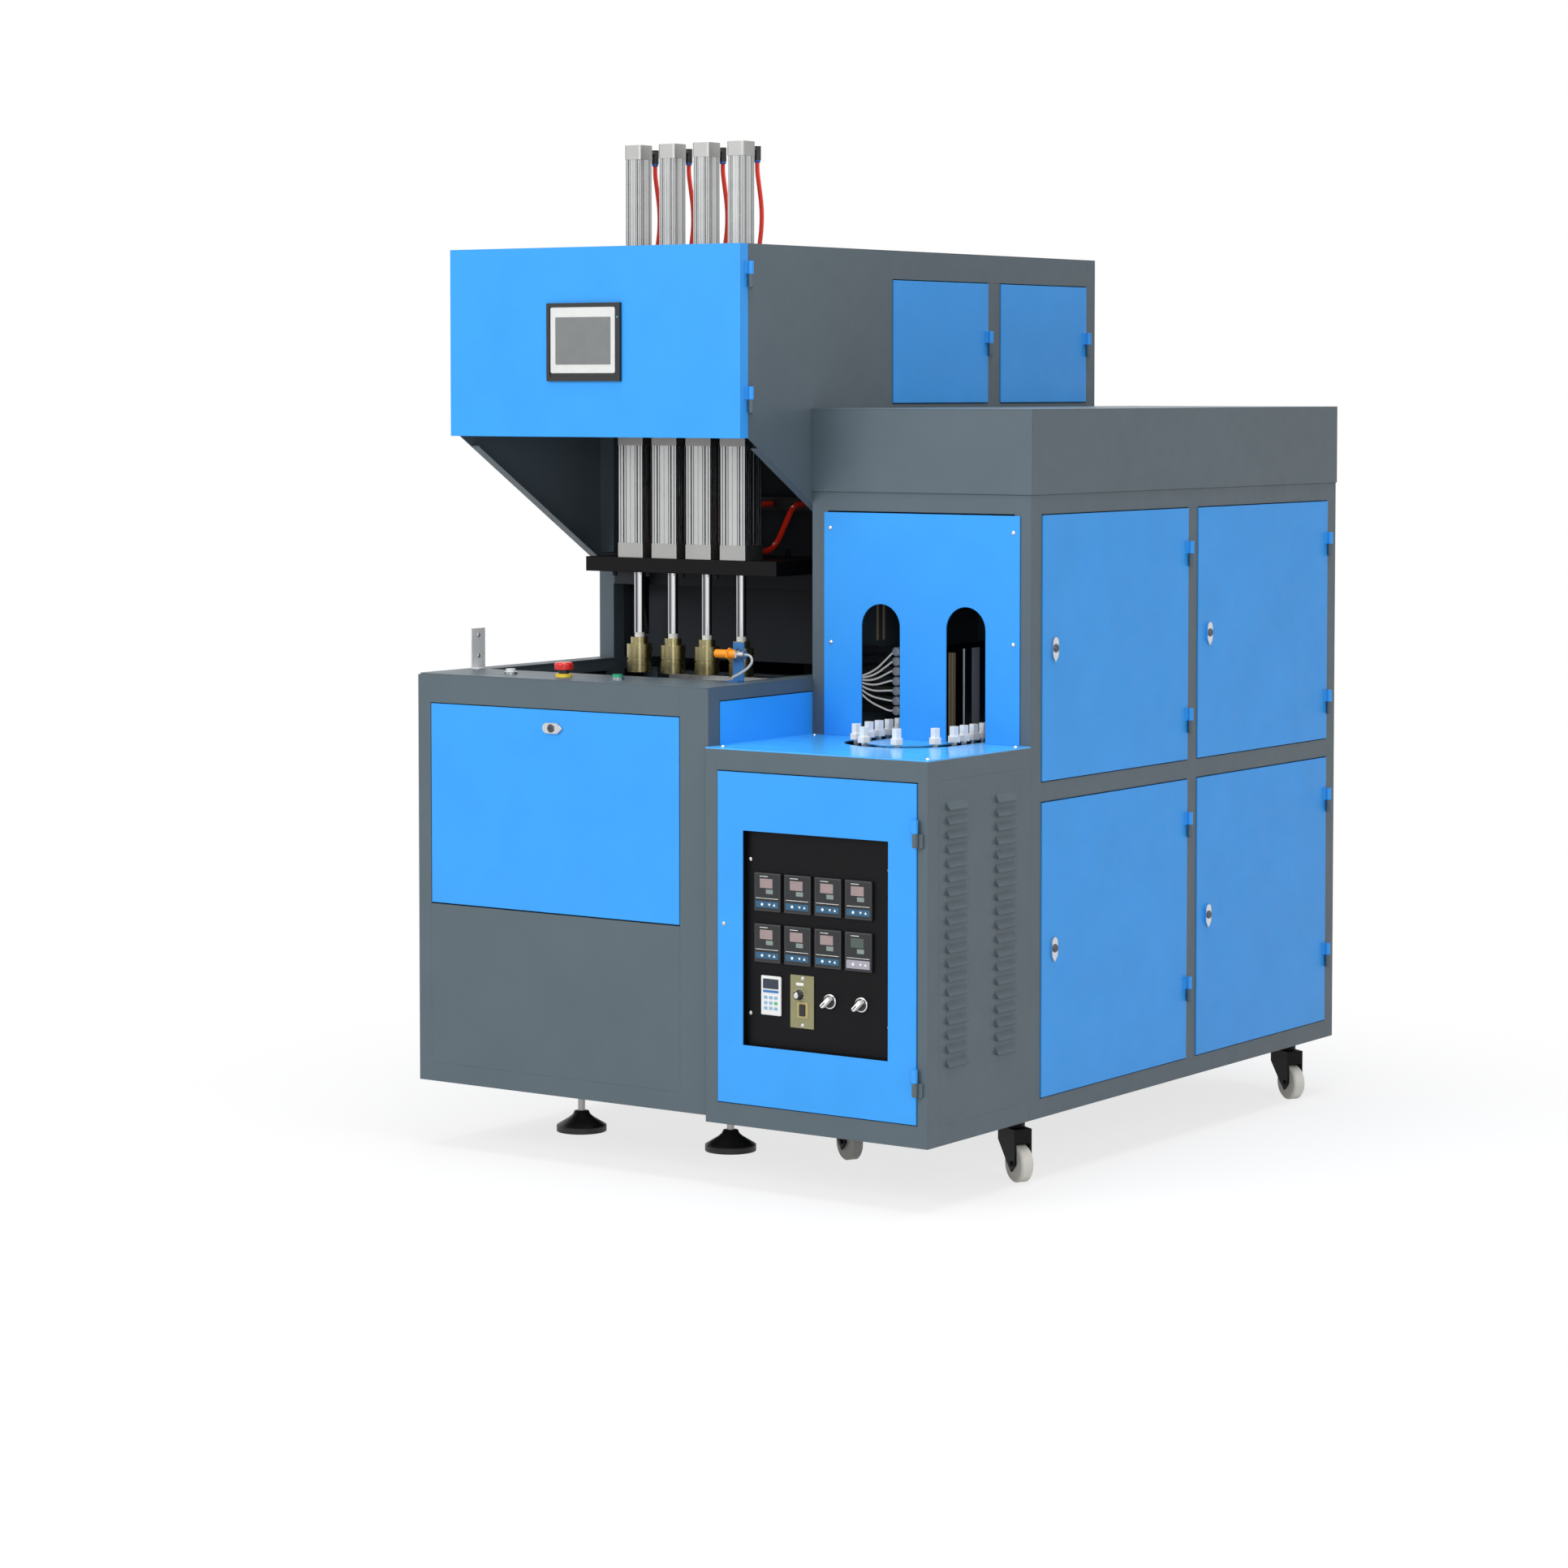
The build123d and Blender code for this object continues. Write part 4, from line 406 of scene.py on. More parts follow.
FINISHES = {
    "base_frame": frame_paint,
    "blow_skins": skin_paint,
    "side_panels": panel_paint,
    "table_deck": grey_paint,
    "front_panel": blue_paint,
    "hood_door": blue_paint,
    "touch_screen": black_plastic,
    "upper_door_front": blue_paint,
    "upper_door_rear": blue_paint,
    "cylinder_plate": black_paint,
    "air_cylinders": caps,
    "air_fittings": black_plastic,
    "air_tubes": tube_red,
    "stretch_rods": chrome,
    "front_platen": steel,
    "tie_bars": bright_steel,
    "clamp_cylinder": cast,
    "rear_platen": steel,
    "sensor_bracket": bracket,
    "photo_sensor": sensor,
    "leads": wires,
    "button_bezels": bezels,
    "left_button": clear_plastic,
    "right_button": green_plastic,
    "stop_head": stop_red,
    "levelling_feet": feet,
    "heater_frame": grey_paint,
    "heater_skins": grey_paint,
    "heater_table": table_paint,
    "arch_panel": blue_paint,
    "control_door": blue_paint,
    "control_panel": black_paint,
    "instruments": black_plastic,
    "speed_knob": black_plastic,
    "lamp_selector": white_plastic,
    "fan_selector": white_plastic,
    "lamp_bank": lamps,
    "mandrel_chain": mandrels,
    "drive_sprocket": steel,
    "gear_motor": cast,
    "upper_side_door_front": blue_paint,
    "upper_side_door_rear": blue_paint,
    "lower_side_door_front": blue_paint,
    "lower_side_door_rear": blue_paint,
}
for number in range(1, 5):
    FINISHES[f"seal_rod_{number}"] = chrome
    FINISHES[f"blow_head_{number}"] = heads
    FINISHES[f"caster_fork_{number}"] = black_paint
    FINISHES[f"caster_wheel_{number}"] = nylon
for name, finish in FINISHES.items():
    for place in nodes[name].material_slots:
        place.material = finish.material

# Finishes of the added pieces: colour and roughness, and the colour and strength of a glow
PLASTICS = {
    "lock_slit": (BLACK, 0.5),
    "regulator_bezel": ((0.020, 0.021, 0.023), 0.38),
    "regulator_face": ((0.010, 0.012, 0.014), 0.16),
    "display_red_grey": ((0.26, 0.20, 0.20), 0.25),
    "display_green_grey": ((0.20, 0.25, 0.23), 0.25),
    "display_dark": ((0.06, 0.085, 0.075), 0.2),
    "regulator_line": (WHITE, 0.4),
    "regulator_strip": ((0.012, 0.085, 0.17), 0.3),
    "regulator_strip_pale": ((0.32, 0.31, 0.36), 0.3),
    "regulator_keys": ((0.75, 0.80, 0.85), 0.4),
    "keypad_white": ((0.72, 0.73, 0.72), 0.4),
    "keypad_display": ((0.020, 0.030, 0.050), 0.18),
    "keypad_blue": (SOFT_BLUE, 0.35),
    "keypad_key_blue": ((0.22, 0.40, 0.56), 0.4),
    "keypad_key_green": (LAMP_GREEN, 0.4),
    "speed_olive": (OLIVE, 0.4),
    "speed_marks": ((0.75, 0.75, 0.70), 0.4),
    "rocker_frame": ((0.42, 0.34, 0.14), 0.4),
    "rocker_black": ((0.012, 0.012, 0.012), 0.28),
    "knob_black": ((0.015, 0.015, 0.016), 0.3),
    "selector_black": ((0.014, 0.014, 0.015), 0.35),
    "selector_white": ((0.80, 0.80, 0.78), 0.35),
    "screen_rim": ((0.62, 0.63, 0.62), 0.4),
    "screen_glass": ((0.17, 0.18, 0.18), 0.18),
    "screen_lamp": (LAMP_GREEN, 0.3),
    "collar_blue": ((0.02, 0.10, 0.45), 0.35),
    "lamp_sleeve": ((0.42, 0.43, 0.44), 0.3),
    "lamp_ring": ((0.015, 0.015, 0.016), 0.4),
    "oven_brass": (BRASS, 0.35),
    "socket_black": ((0.022, 0.022, 0.024), 0.3),
    "reflector_edge": ((0.45, 0.46, 0.47), 0.35),
    "boot_black": ((0.014, 0.014, 0.015), 0.42),
}
METALS = {
    "lock_core": ((0.10, 0.10, 0.11), 0.3),
    "lock_chrome": ((0.62, 0.63, 0.64), 0.2),
    "screw_zinc": (SCREW_ZINC, 0.28),
    "speed_screw": (SCREW_ZINC, 0.3),
    "knob_cap": ((0.70, 0.70, 0.70), 0.25),
    "selector_chrome": ((0.70, 0.71, 0.72), 0.14),
    "cap_bolt": ((0.30, 0.30, 0.31), 0.35),
}
# Painted light: the lamp sleeves, brass strips and reflector edges glow faintly though they are no lamps
GLOWS = {
    "display_red_grey": ((0.30, 0.18, 0.18), 0.15),
    "lamp_sleeve": (CERAMIC, 0.10),
    "oven_brass": (BRASS, 0.10),
    "reflector_edge": (CERAMIC, 0.12),
}
small = {name: plastic(name, *values) for name, values in PLASTICS.items()}
small.update((name, metal(name, *values)) for name, values in METALS.items())
for name, values in GLOWS.items():
    small[name].glow(*values)


# Mesh helpers

BEVEL_SEGMENTS = 3
CORNER_SEGMENTS = 4
DROP_SEGMENTS = 8


def add_box(bm, low, high, bevel, corners=None):
    """Box between two machine points, bevelled by some millimetres: all edges, or those along one axis."""
    size = Vector(high) - Vector(low)
    middle = (Vector(high) + Vector(low)) / 2
    place = Matrix.Translation(at(*middle)) @ Matrix.Diagonal((*(size / 1000), 1.0))
    made = bmesh.ops.create_cube(bm, size=1.0, matrix=place)
    edges = list({e for v in made["verts"] for e in v.link_edges})
    if corners is not None:
        edges = [e for e in edges if abs((e.verts[0].co - e.verts[1].co).normalized()[corners]) > 0.9]
    bmesh.ops.bevel(bm, geom=edges, offset=bevel / 1000, segments=BEVEL_SEGMENTS, profile=0.5, affect="EDGES")


def add_walls(bm, low, high):
    """Faces between two loops of points."""
    for i in range(len(low)):
        j = (i + 1) % len(low)
        bm.faces.new((low[i], low[j], high[j], high[i]))


def add_turned(bm, origin, axis, profile, segments):
    """Turned form along an axis from a machine point."""
    direction = Vector(axis).normalized()
    side = direction.orthogonal().normalized()
    other = direction.cross(side)
    start = at(*origin)
    rings = []
    for radius, height in profile:
        centre = start + direction * height / 1000
        ring = []
        for i in range(segments):
            angle = 2 * math.pi * i / segments
            spoke = side * math.cos(angle) + other * math.sin(angle)
            ring.append(bm.verts.new(centre + spoke * radius / 1000))
        rings.append(ring)
    for low, high in zip(rings, rings[1:]):
        add_walls(bm, low, high)
    bm.faces.new(list(reversed(rings[0])))
    bm.faces.new(rings[-1])


def add_plate(bm, outline, origin, across, up, thickness):
    """Flat plate from an outline in millimetres, drawn across and up from a machine point, thick to the outside."""
    right = Vector(across)
    top = Vector(up)
    out = right.cross(top)
    start = at(*origin)
    low = [bm.verts.new(start + (right * x + top * y) / 1000) for x, y in outline]
    high = [bm.verts.new(v.co + out * thickness / 1000) for v in low]
    bm.faces.new(list(reversed(low)))
    bm.faces.new(high)
    add_walls(bm, low, high)


def disc(radius, segments):
    """Outline of a circle."""
    angles = [2 * math.pi * i / segments for i in range(segments)]
    return [(radius * math.cos(a), radius * math.sin(a)) for a in angles]


def round_rect(width, height, radius):
    """Outline of a rectangle with round corners, centred."""
    points = []
    for cx, cy, start in ((1, 1, 0), (-1, 1, 90), (-1, -1, 180), (1, -1, 270)):
        x, y = cx * (width / 2 - radius), cy * (height / 2 - radius)
        for i in range(CORNER_SEGMENTS + 1):
            angle = math.radians(start + 90 * i / CORNER_SEGMENTS)
            points.append((x + radius * math.cos(angle), y + radius * math.sin(angle)))
    return points


def piece(name, bm, body, finish, smooth=False):
    """Makes the mesh an object that rides on a body."""
    mesh = bpy.data.meshes.new(name)
    bmesh.ops.recalc_face_normals(bm, faces=bm.faces)
    bm.to_mesh(mesh)
    bm.free()
    if smooth:
        for face in mesh.polygons:
            face.use_smooth = True
    made = bpy.data.objects.new(name, mesh)
    bpy.context.scene.collection.objects.link(made)
    mesh.materials.append(finish.material)
    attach(made, body)
    return made


def front_plates(name, body, finish, origin, plates):
    """Piece of plates that face the front: outline, offsets across and up from a machine point, and thickness."""
    x, y, z = origin
    bm = bmesh.new()
    for outline, dx, dz, thickness in plates:
        add_plate(bm, outline, (x + dx, y, z + dz), *FRONT, thickness)
    piece(name, bm, body, small[finish])


# Locks and screws

# Turned forms hold their profile, as pairs of radius and height, and the number of their sides
LOCK_COVER = (47.6, 23.6)
LOCK_COVER_THICKNESS = 4.4
LOCK_RIM = 2.0
LOCK_TOP_BASE = 4.2
LOCK_TOP_THICKNESS = 1.2
LOCK_FRONT_AT = (366.0, -0.2, 920.0)
LOCK_SIDE_X = HEATER_RIGHT + 2.2
LOCK_LEVELS = (("upper", 1099.0), ("lower", 479.0))
LOCK_ENDS = (("front", 461.0), ("rear", 1112.0))
LOCK_CORE = ([(9.0, 0.0), (9.0, 1.2), (7.4, 2.4), (7.2, 3.2)], 24)
LOCK_CORE_BASE = 5.2
LOCK_SLIT = (8.0, 1.6, 0.7)
LOCK_SLIT_BASE = 8.2
LOCK_SLIT_THICKNESS = 0.3
SCREW_HEAD = ([(4.6, 0.0), (4.4, 1.2), (3.4, 2.2), (1.6, 2.7)], 16)
ARCH_SCREWS = ((818.0, 1339.0), (1270.0, 1337.0), (820.0, 1098.0), (1270.0, 1108.0))
ARCH_FACE = TALL_FRONT - 3.0
TABLE_SCREWS = ((792.0, 20.0), (1290.0, 20.0), (792.0, 350.0), (1290.0, 350.0))
DOOR_SCREW = (818.0, HEATER_FRONT - 2.0, 544.0)
PANEL_SCREWS = ((874.0, 678.0), (874.0, 364.0), (1212.0, 678.0), (1212.0, 364.0))
REFLECTOR_AT = (23.0, 177.0)
REFLECTOR_LEVELS = (1050.0, 1095.0)


def drop(length, width):
    """Outline of a lock cover along X: a slot whose right end runs out to a point."""
    radius = width / 2
    centre = length / 2 - radius
    points = [(centre + radius * math.sqrt(2.0), 0.0)]
    for middle, start, stop in ((centre, 45.0, 90.0), (-centre, 90.0, 270.0), (centre, 270.0, 315.0)):
        for i in range(DROP_SEGMENTS + 1):
            angle = math.radians(start + (stop - start) * i / DROP_SEGMENTS)
            points.append((middle + radius * math.cos(angle), radius * math.sin(angle)))
    return points


def locks():
    """Bright covers and dark cores of the five locks, their points to the right or down."""
    length, width = LOCK_COVER
    places = [("front_panel", LOCK_FRONT_AT, FRONT)]
    for level, z in LOCK_LEVELS:
        for end, y in LOCK_ENDS:
            places.append((f"{level}_side_door_{end}", (LOCK_SIDE_X, y, z), SIDE))
    for body, origin, (across, up) in places:
        base = Vector(origin)
        out = Vector(across).cross(Vector(up))
        cover = bmesh.new()
        add_plate(cover, drop(length, width), origin, across, up, LOCK_COVER_THICKNESS)
        raised = drop(length - LOCK_RIM, width - LOCK_RIM)
        add_plate(cover, raised, base + out * LOCK_TOP_BASE, across, up, LOCK_TOP_THICKNESS)
        piece(f"lock_cover_{body}", cover, body, small["lock_chrome"])
        core = bmesh.new()
        add_turned(core, base + out * LOCK_CORE_BASE, out, *LOCK_CORE)
        piece(f"lock_core_{body}", core, body, small["lock_core"])
        slit = bmesh.new()
        add_plate(slit, round_rect(*LOCK_SLIT), base + out * LOCK_SLIT_BASE, across, up, LOCK_SLIT_THICKNESS)
        piece(f"lock_slit_{body}", slit, body, small["lock_slit"])


def add_screw(bm, origin, out):
    """Pan head of a screw."""
    add_turned(bm, origin, out, *SCREW_HEAD)


def screws():
    """Screws of the arch panel, the heater's table, the control door and the reflector post."""
    finish = small["screw_zinc"]
    heater = bmesh.new()
    for x, z in ARCH_SCREWS:
        add_screw(heater, (x, ARCH_FACE, z), TO_FRONT)
    for x, y in TABLE_SCREWS:
        add_screw(heater, (x, y, TABLE_TOP), UP)
    piece("heater_screws", heater, "machine", finish)
    door = bmesh.new()
    add_screw(door, DOOR_SCREW, TO_FRONT)
    for x, z in PANEL_SCREWS:
        add_screw(door, (x, PANEL_FACE, z), TO_FRONT)
    piece("control_screws", door, "control_door", finish)
    post = bmesh.new()
    for z in REFLECTOR_LEVELS:
        add_screw(post, (*REFLECTOR_AT, z), ACROSS)
    piece("reflector_screws", post, "machine", finish)


# Control panel

# Cases: how far each stands before and behind the face of its CAD block, and its bevel
CASE_MARGIN = 0.2
REGULATOR_CASE = (1.5, 5.5, 1.6)
KEYPAD_CASE = (1.0, 3.5, 2.0)
SPEED_CASE = (0.6, 1.6, 0.6)
# Flat parts of an instrument: name, slot, finish, how far the part lies before the CAD block,
# and its plates as outline, offsets across and up, and thickness
KEY_Z = -25.0
DOWN_ARROW = [(3.2, 2.2), (0.0, -3.0), (-3.2, 2.2)]
UP_ARROW = [(-3.2, -2.2), (3.2, -2.2), (0.0, 3.0)]
REGULATOR_PARTS = (
    ("face", "black_plastic", "regulator_face", 1.3, [(round_rect(57.0, 71.0, 2.0), 0.0, 0.0, 0.5)]),
    ("display", "black_plastic", "display_red_grey", 1.7, [(round_rect(31.0, 19.0, 1.0), -2.0, 18.0, 0.4)]),
    ("small_display", "black_plastic", "display_green_grey", 1.7, [(round_rect(17.0, 9.0, 0.8), 6.0, 1.5, 0.4)]),
    ("line", "white_plastic", "regulator_line", 1.7,
     [(round_rect(55.0, 0.9, 0.4), 0.0, -12.5, 0.4), (round_rect(20.0, 1.2, 0.5), -8.0, 32.0, 0.3)]),
    ("strip", "black_plastic", "regulator_strip", 1.7, [(round_rect(56.0, 13.0, 1.0), 0.0, KEY_Z, 0.4)]),
    ("keys", "white_plastic", "regulator_keys", 2.0,
     [(disc(3.0, 16), -12.0, KEY_Z, 0.4), (DOWN_ARROW, 6.0, KEY_Z, 0.4), (UP_ARROW, 18.0, KEY_Z, 0.4)]),
)
# Finish and plates in which the last regulator differs
LAST_PARTS = {
    "display": ("display_dark", [(round_rect(31.0, 19.0, 1.0), -2.0, 18.0, 0.4)]),
    "strip": ("regulator_strip_pale", [(round_rect(56.0, 17.0, 1.0), 0.0, KEY_Z, 0.4)]),
}
RUN_KEY = (1, 2)
KEYS = {
    (row, column): (round_rect(8.0, 6.0, 1.5), (column - 1) * 12.5, -4.0 - row * 11.0, 0.7)
    for row in range(3) for column in range(3)
}
KEYPAD_PARTS = (
    ("display", "black_plastic", "keypad_display", 1.2, [(round_rect(38.0, 20.0, 1.5), 0.0, 24.0, 0.5)]),
    ("strip", "blue_paint", "keypad_blue", 1.2, [(round_rect(38.0, 5.0, 1.0), 0.0, 8.5, 0.4)]),
    ("keys", "blue_paint", "keypad_key_blue", 1.2, [plate for key, plate in KEYS.items() if key != RUN_KEY]),
    ("run_key", "green_plastic", "keypad_key_green", 1.2, [KEYS[RUN_KEY]]),
)
DIAL_RADIUS = 13.0
DIAL_ANGLES = [math.radians(225 - 27 * i) for i in range(11)]
DIAL_MARKS = [(disc(0.9, 8), DIAL_RADIUS * math.cos(a), DIAL_RADIUS * math.sin(a), 0.3) for a in DIAL_ANGLES]
DIAL_LABEL = (round_rect(18.0, 6.0, 0.8), 1.5, 22.0, 0.3)
ROCKER_AT = (2.0, 37.0)
ROCKER_FRAME = (round_rect(26.0, 32.0, 1.0), 0.0, 0.0, 0.8)
ROCKER_HALF = (7.0, 12.0)
ROCKER_DEPTHS = (5.0, 1.4)
ROCKER_BEVEL = 1.2
DIAL_BASE = 0.9
SPEED_SCREW_BASE = 0.6
SPEED_SCREW_INSET = 6.0
KNOB = ([(10.0, 0.6), (10.0, 2.4), (8.6, 3.0), (8.4, 11.6), (7.4, 12.6), (5.0, 12.7)], 32)
KNOB_BASE = 0.1
KNOB_CAP = ([(5.6, 0.0), (5.6, 0.8), (5.0, 1.1)], 24)
KNOB_CAP_BASE = 12.6
KNOB_POINTER = (1.4, 4.0, 0.5)
KNOB_POINTER_BASE = 12.8
KNOB_POINTER_Z = 6.6
KNOB_POINTER_THICKNESS = 0.5
SELECTOR_BEZEL = ([(15.6, 0.0), (15.6, 2.6), (14.6, 4.2), (12.6, 4.8), (11.4, 3.9)], 40)
SELECTOR_HUB = ([(11.6, 0.0), (11.6, 5.0), (10.8, 6.0)], 32)
SELECTOR_HUB_Y = PANEL_FACE - 3.5
SELECTOR_HANDLE = (8.0, 27.0, 2.6)
SELECTOR_HANDLE_Y = PANEL_FACE - 8.0
SELECTOR_HANDLE_DEPTH = 13.0
SELECTOR_MARK = (2.0, 12.0, 0.8)
SELECTOR_MARK_Y = PANEL_FACE - 20.9
SELECTOR_MARK_SHIFT = 6.5
SELECTOR_MARK_THICKNESS = 0.4
SCREEN_RIM = (round_rect(171.0, 139.0, 4.0), -1.0, 4.0, 1.6)
SCREEN_RIM_DEPTH = 2.2
SCREEN_GLASS = (round_rect(147.0, 100.0, 2.0), 0.0, 2.5, 0.5)
SCREEN_GLASS_DEPTH = 0.8
SCREEN_LAMP = ([(2.0, 0.0), (2.0, 0.6), (1.2, 1.0)], 16)
SCREEN_LAMP_DEPTH = 0.2
SCREEN_LAMP_INSET = 6.0
SCREEN_LAMP_Z = 52.0


def case(name, slot, finish, corner, size, before, behind, bevel):
    """Case just outside its CAD block, from before the block's face to behind it."""
    left, y, low = corner
    width, height = size
    bm = bmesh.new()
    add_box(bm, (left - CASE_MARGIN, y - before, low - CASE_MARGIN),
            (left + width + CASE_MARGIN, y + behind, low + height + CASE_MARGIN), bevel)
    piece(name, bm, "control_door", small[finish])


def regulators():
    """Faces of the regulators: bezel, displays, line and the coloured key strip."""
    width, height = REGULATOR_SIZE
    across, down = REGULATOR_PITCH
    y = PANEL_FACE - REGULATOR_PROUD
    for index in range(REGULATOR_COUNT):
        row, column = divmod(index, REGULATOR_COLUMNS)
        left = REGULATOR_LEFT + column * across
        low = REGULATOR_TOP - row * down - height
        number = index + 1
        case(f"regulator_bezel_{number}", "black_plastic", "regulator_bezel",
             (left, y, low), REGULATOR_SIZE, *REGULATOR_CASE)
        for part, slot, finish, before, plates in REGULATOR_PARTS:
            if number == REGULATOR_COUNT:
                finish, plates = LAST_PARTS.get(part, (finish, plates))
            middle = (left + width / 2, y - before, low + height / 2)
            front_plates(f"regulator_{part}_{number}", "control_door", finish, middle, plates)


def keypad():
    """Inverter keypad: white case, dark display and rows of coloured keys."""
    left, low, width, height, proud = KEYPAD
    y = PANEL_FACE - proud
    case("keypad_case", "white_plastic", "keypad_white", (left, y, low), (width, height), *KEYPAD_CASE)
    for part, slot, finish, before, plates in KEYPAD_PARTS:
        middle = (left + width / 2, y - before, low + height / 2)
        front_plates(f"keypad_{part}", "control_door", finish, middle, plates)


def speed_setter():
    """Speed setter: olive plate with dial marks, rocker switch, screws and knob."""
    left, low, width, height, proud = SPEED_PLATE
    y = PANEL_FACE - proud
    marks_y = y - DIAL_BASE
    knob_x, knob_z = KNOB_AT
    x, z = left + width / 2 + ROCKER_AT[0], low + ROCKER_AT[1]
    half_x, half_z = ROCKER_HALF
    front, back = ROCKER_DEPTHS
    case("speed_plate", "brass", "speed_olive", (left, y, low), (width, height), *SPEED_CASE)
    front_plates("speed_marks", "control_door", "speed_marks",
                 (knob_x, marks_y, knob_z), [*DIAL_MARKS, DIAL_LABEL])
    front_plates("rocker_frame", "control_door", "rocker_frame", (x, marks_y, z), [ROCKER_FRAME])
    rocker = bmesh.new()
    add_box(rocker, (x - half_x, y - front, z - half_z), (x + half_x, y - back, z + half_z), ROCKER_BEVEL)
    piece("rocker_switch", rocker, "control_door", small["rocker_black"])
    bolts = bmesh.new()
    for level in (low + SPEED_SCREW_INSET, low + height - SPEED_SCREW_INSET):
        add_screw(bolts, (x, y - SPEED_SCREW_BASE, level), TO_FRONT)
    piece("speed_screws", bolts, "control_door", small["speed_screw"])
    knob = bmesh.new()
    add_turned(knob, (knob_x, y - KNOB_BASE, knob_z), TO_FRONT, *KNOB)
    piece("speed_knob_body", knob, "speed_knob", small["knob_black"], True)
    cap = bmesh.new()
    add_turned(cap, (knob_x, y - KNOB_CAP_BASE, knob_z), TO_FRONT, *KNOB_CAP)
    pointer_at = (knob_x, y - KNOB_POINTER_BASE, knob_z + KNOB_POINTER_Z)
    add_plate(cap, round_rect(*KNOB_POINTER), pointer_at, *FRONT, KNOB_POINTER_THICKNESS)
    piece("speed_knob_cap", cap, "speed_knob", small["knob_cap"])


def selectors():
    """Chrome bezels of the two selectors, and the white bars of their handles, turned by 45 degrees."""
    turn = math.sqrt(0.5)
    right, up = Vector((turn, 0, -turn)), Vector((turn, 0, turn))
    for body, x in SELECTORS:
        bezel = bmesh.new()
        add_turned(bezel, (x, PANEL_FACE, SELECTOR_Z), TO_FRONT, *SELECTOR_BEZEL)
        piece(f"{body}_bezel", bezel, body, small["selector_chrome"], True)
        hub = bmesh.new()
        add_turned(hub, (x, SELECTOR_HUB_Y, SELECTOR_Z), TO_FRONT, *SELECTOR_HUB)
        piece(f"{body}_hub", hub, body, small["selector_black"])
        handle = bmesh.new()
        handle_at = (x, SELECTOR_HANDLE_Y, SELECTOR_Z)
        add_plate(handle, round_rect(*SELECTOR_HANDLE), handle_at, right, up, SELECTOR_HANDLE_DEPTH)
        piece(f"{body}_handle", handle, body, small["selector_white"])
        mark = bmesh.new()
        mark_at = Vector((x, SELECTOR_MARK_Y, SELECTOR_Z)) - up * SELECTOR_MARK_SHIFT
        add_plate(mark, round_rect(*SELECTOR_MARK), mark_at, right, up, SELECTOR_MARK_THICKNESS)
        piece(f"{body}_mark", mark, body, small["selector_black"])


def operator_screen():
    """Touch screen: pale inner frame, grey glass and a lamp at the side."""
    low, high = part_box("touch_screen")
    left, right = (low.x - deck_low.x) * 1000, (high.x - deck_low.x) * 1000
    bottom, top = low.z * 1000, high.z * 1000
    face = (low.y - deck_low.y) * 1000
    x, z = (left + right) / 2, (bottom + top) / 2
    front_plates("screen_rim", "hood_door", "screen_rim",
                 (x, face + SCREEN_RIM_DEPTH, z), [SCREEN_RIM])
    front_plates("screen_glass", "hood_door", "screen_glass",
                 (x, face + SCREEN_GLASS_DEPTH, z), [SCREEN_GLASS])
    lamp = bmesh.new()
    lamp_at = (right - SCREEN_LAMP_INSET, face + SCREEN_LAMP_DEPTH, z + SCREEN_LAMP_Z)
    add_turned(lamp, lamp_at, TO_FRONT, *SCREEN_LAMP)
    piece("screen_lamp", lamp, "hood_door", small["screen_lamp"])


# Cylinders, tubes, lamps and feet

# Grooves across one face of an extruded barrel: place, width and depth as shares of the face
GROOVES = (
    (-0.42, 0.035, 0.045), (-0.29, 0.060, 0.090), (-0.19, 0.030, 0.040), (0.0, 0.030, 0.015),
    (0.19, 0.030, 0.040), (0.29, 0.060, 0.090), (0.42, 0.035, 0.045),
)
# Levels, side and corner chamfer of the cylinders at a station
CYLINDERS = ((SEAL_LEVELS, 68.0, 2.0), (STRETCH_LEVELS, 45.0, 5.0))
BARREL_INSET = 4.0
CAP_BOLT = ([(4.2, 0.0), (4.2, 3.6), (2.4, 3.6), (2.4, 1.8)], 12)
CAP_BOLT_OFFSETS = (-14.0, 14.0)
CAP_BOLT_Z = STRETCH_LEVELS[3] - 3.8
WIDE_COLLAR = ([(8.4, 0.0), (8.4, 5.0), (7.6, 6.4), (6.8, 6.6)], 20)
WIDE_COLLAR_Y = ROW_Y + 49.0
LOWER_TUBE_Z = PLATE_TOP + 16.0
RETURN_TUBE_Z = SEAL_LEVELS[3] - 16.0
NARROW_COLLAR = ([(7.0, 0.0), (7.0, 5.0), (6.0, 6.4), (5.3, 6.6)], 20)
NARROW_COLLAR_Y = ROW_Y + 60.5
UPPER_TUBE_Z = STRETCH_LEVELS[3] - 36.5
LAMP_SLEEVE = ([(5.0, 0.0), (8.4, 0.8), (9.3, 2.0), (9.3, 12.6), (8.6, 13.6)], 24)
LAMP_SLEEVE_Y = LAMP_FRONT - 1.4
LAMP_RING = ([(9.0, 0.0), (9.8, 0.6), (9.8, 3.4), (9.0, 4.0)], 24)
LAMP_RING_Y = LAMP_FRONT + 12.6
OVEN_LEFT = 772.4
TABLE_FOOT = TABLE_TOP - 0.2
# Oven strips, socket fins and reflector edges: lowest and highest corners
STRIPS = (
    *(((OVEN_LEFT, y, 1088.0), (774.8, y + 6.0, 1360.0)) for y in (616.0, 640.0)),
    *(((x, 458.0, TABLE_FOOT), (x + 2.4, 470.0, 1080.0)) for x in (1058.0, 1066.0)),
)
FINS = [((OVEN_LEFT, 524.0, z - 7.0), (895.0, 544.0, z + 7.0)) for z in LAMP_LEVELS]
EDGES = [((x - 0.4, 457.2, TABLE_FOOT), (x + 3.4, 459.0, 1090.0)) for x in (1005.0, 1095.0)]
BOOT = ([(55.0, 0.0), (55.0, 2.0), (40.0, 11.0), (27.0, 19.0), (19.0, 26.0), (16.0, 33.0), (9.0, 34.0)], 40)
BOOT_Z = 11.0


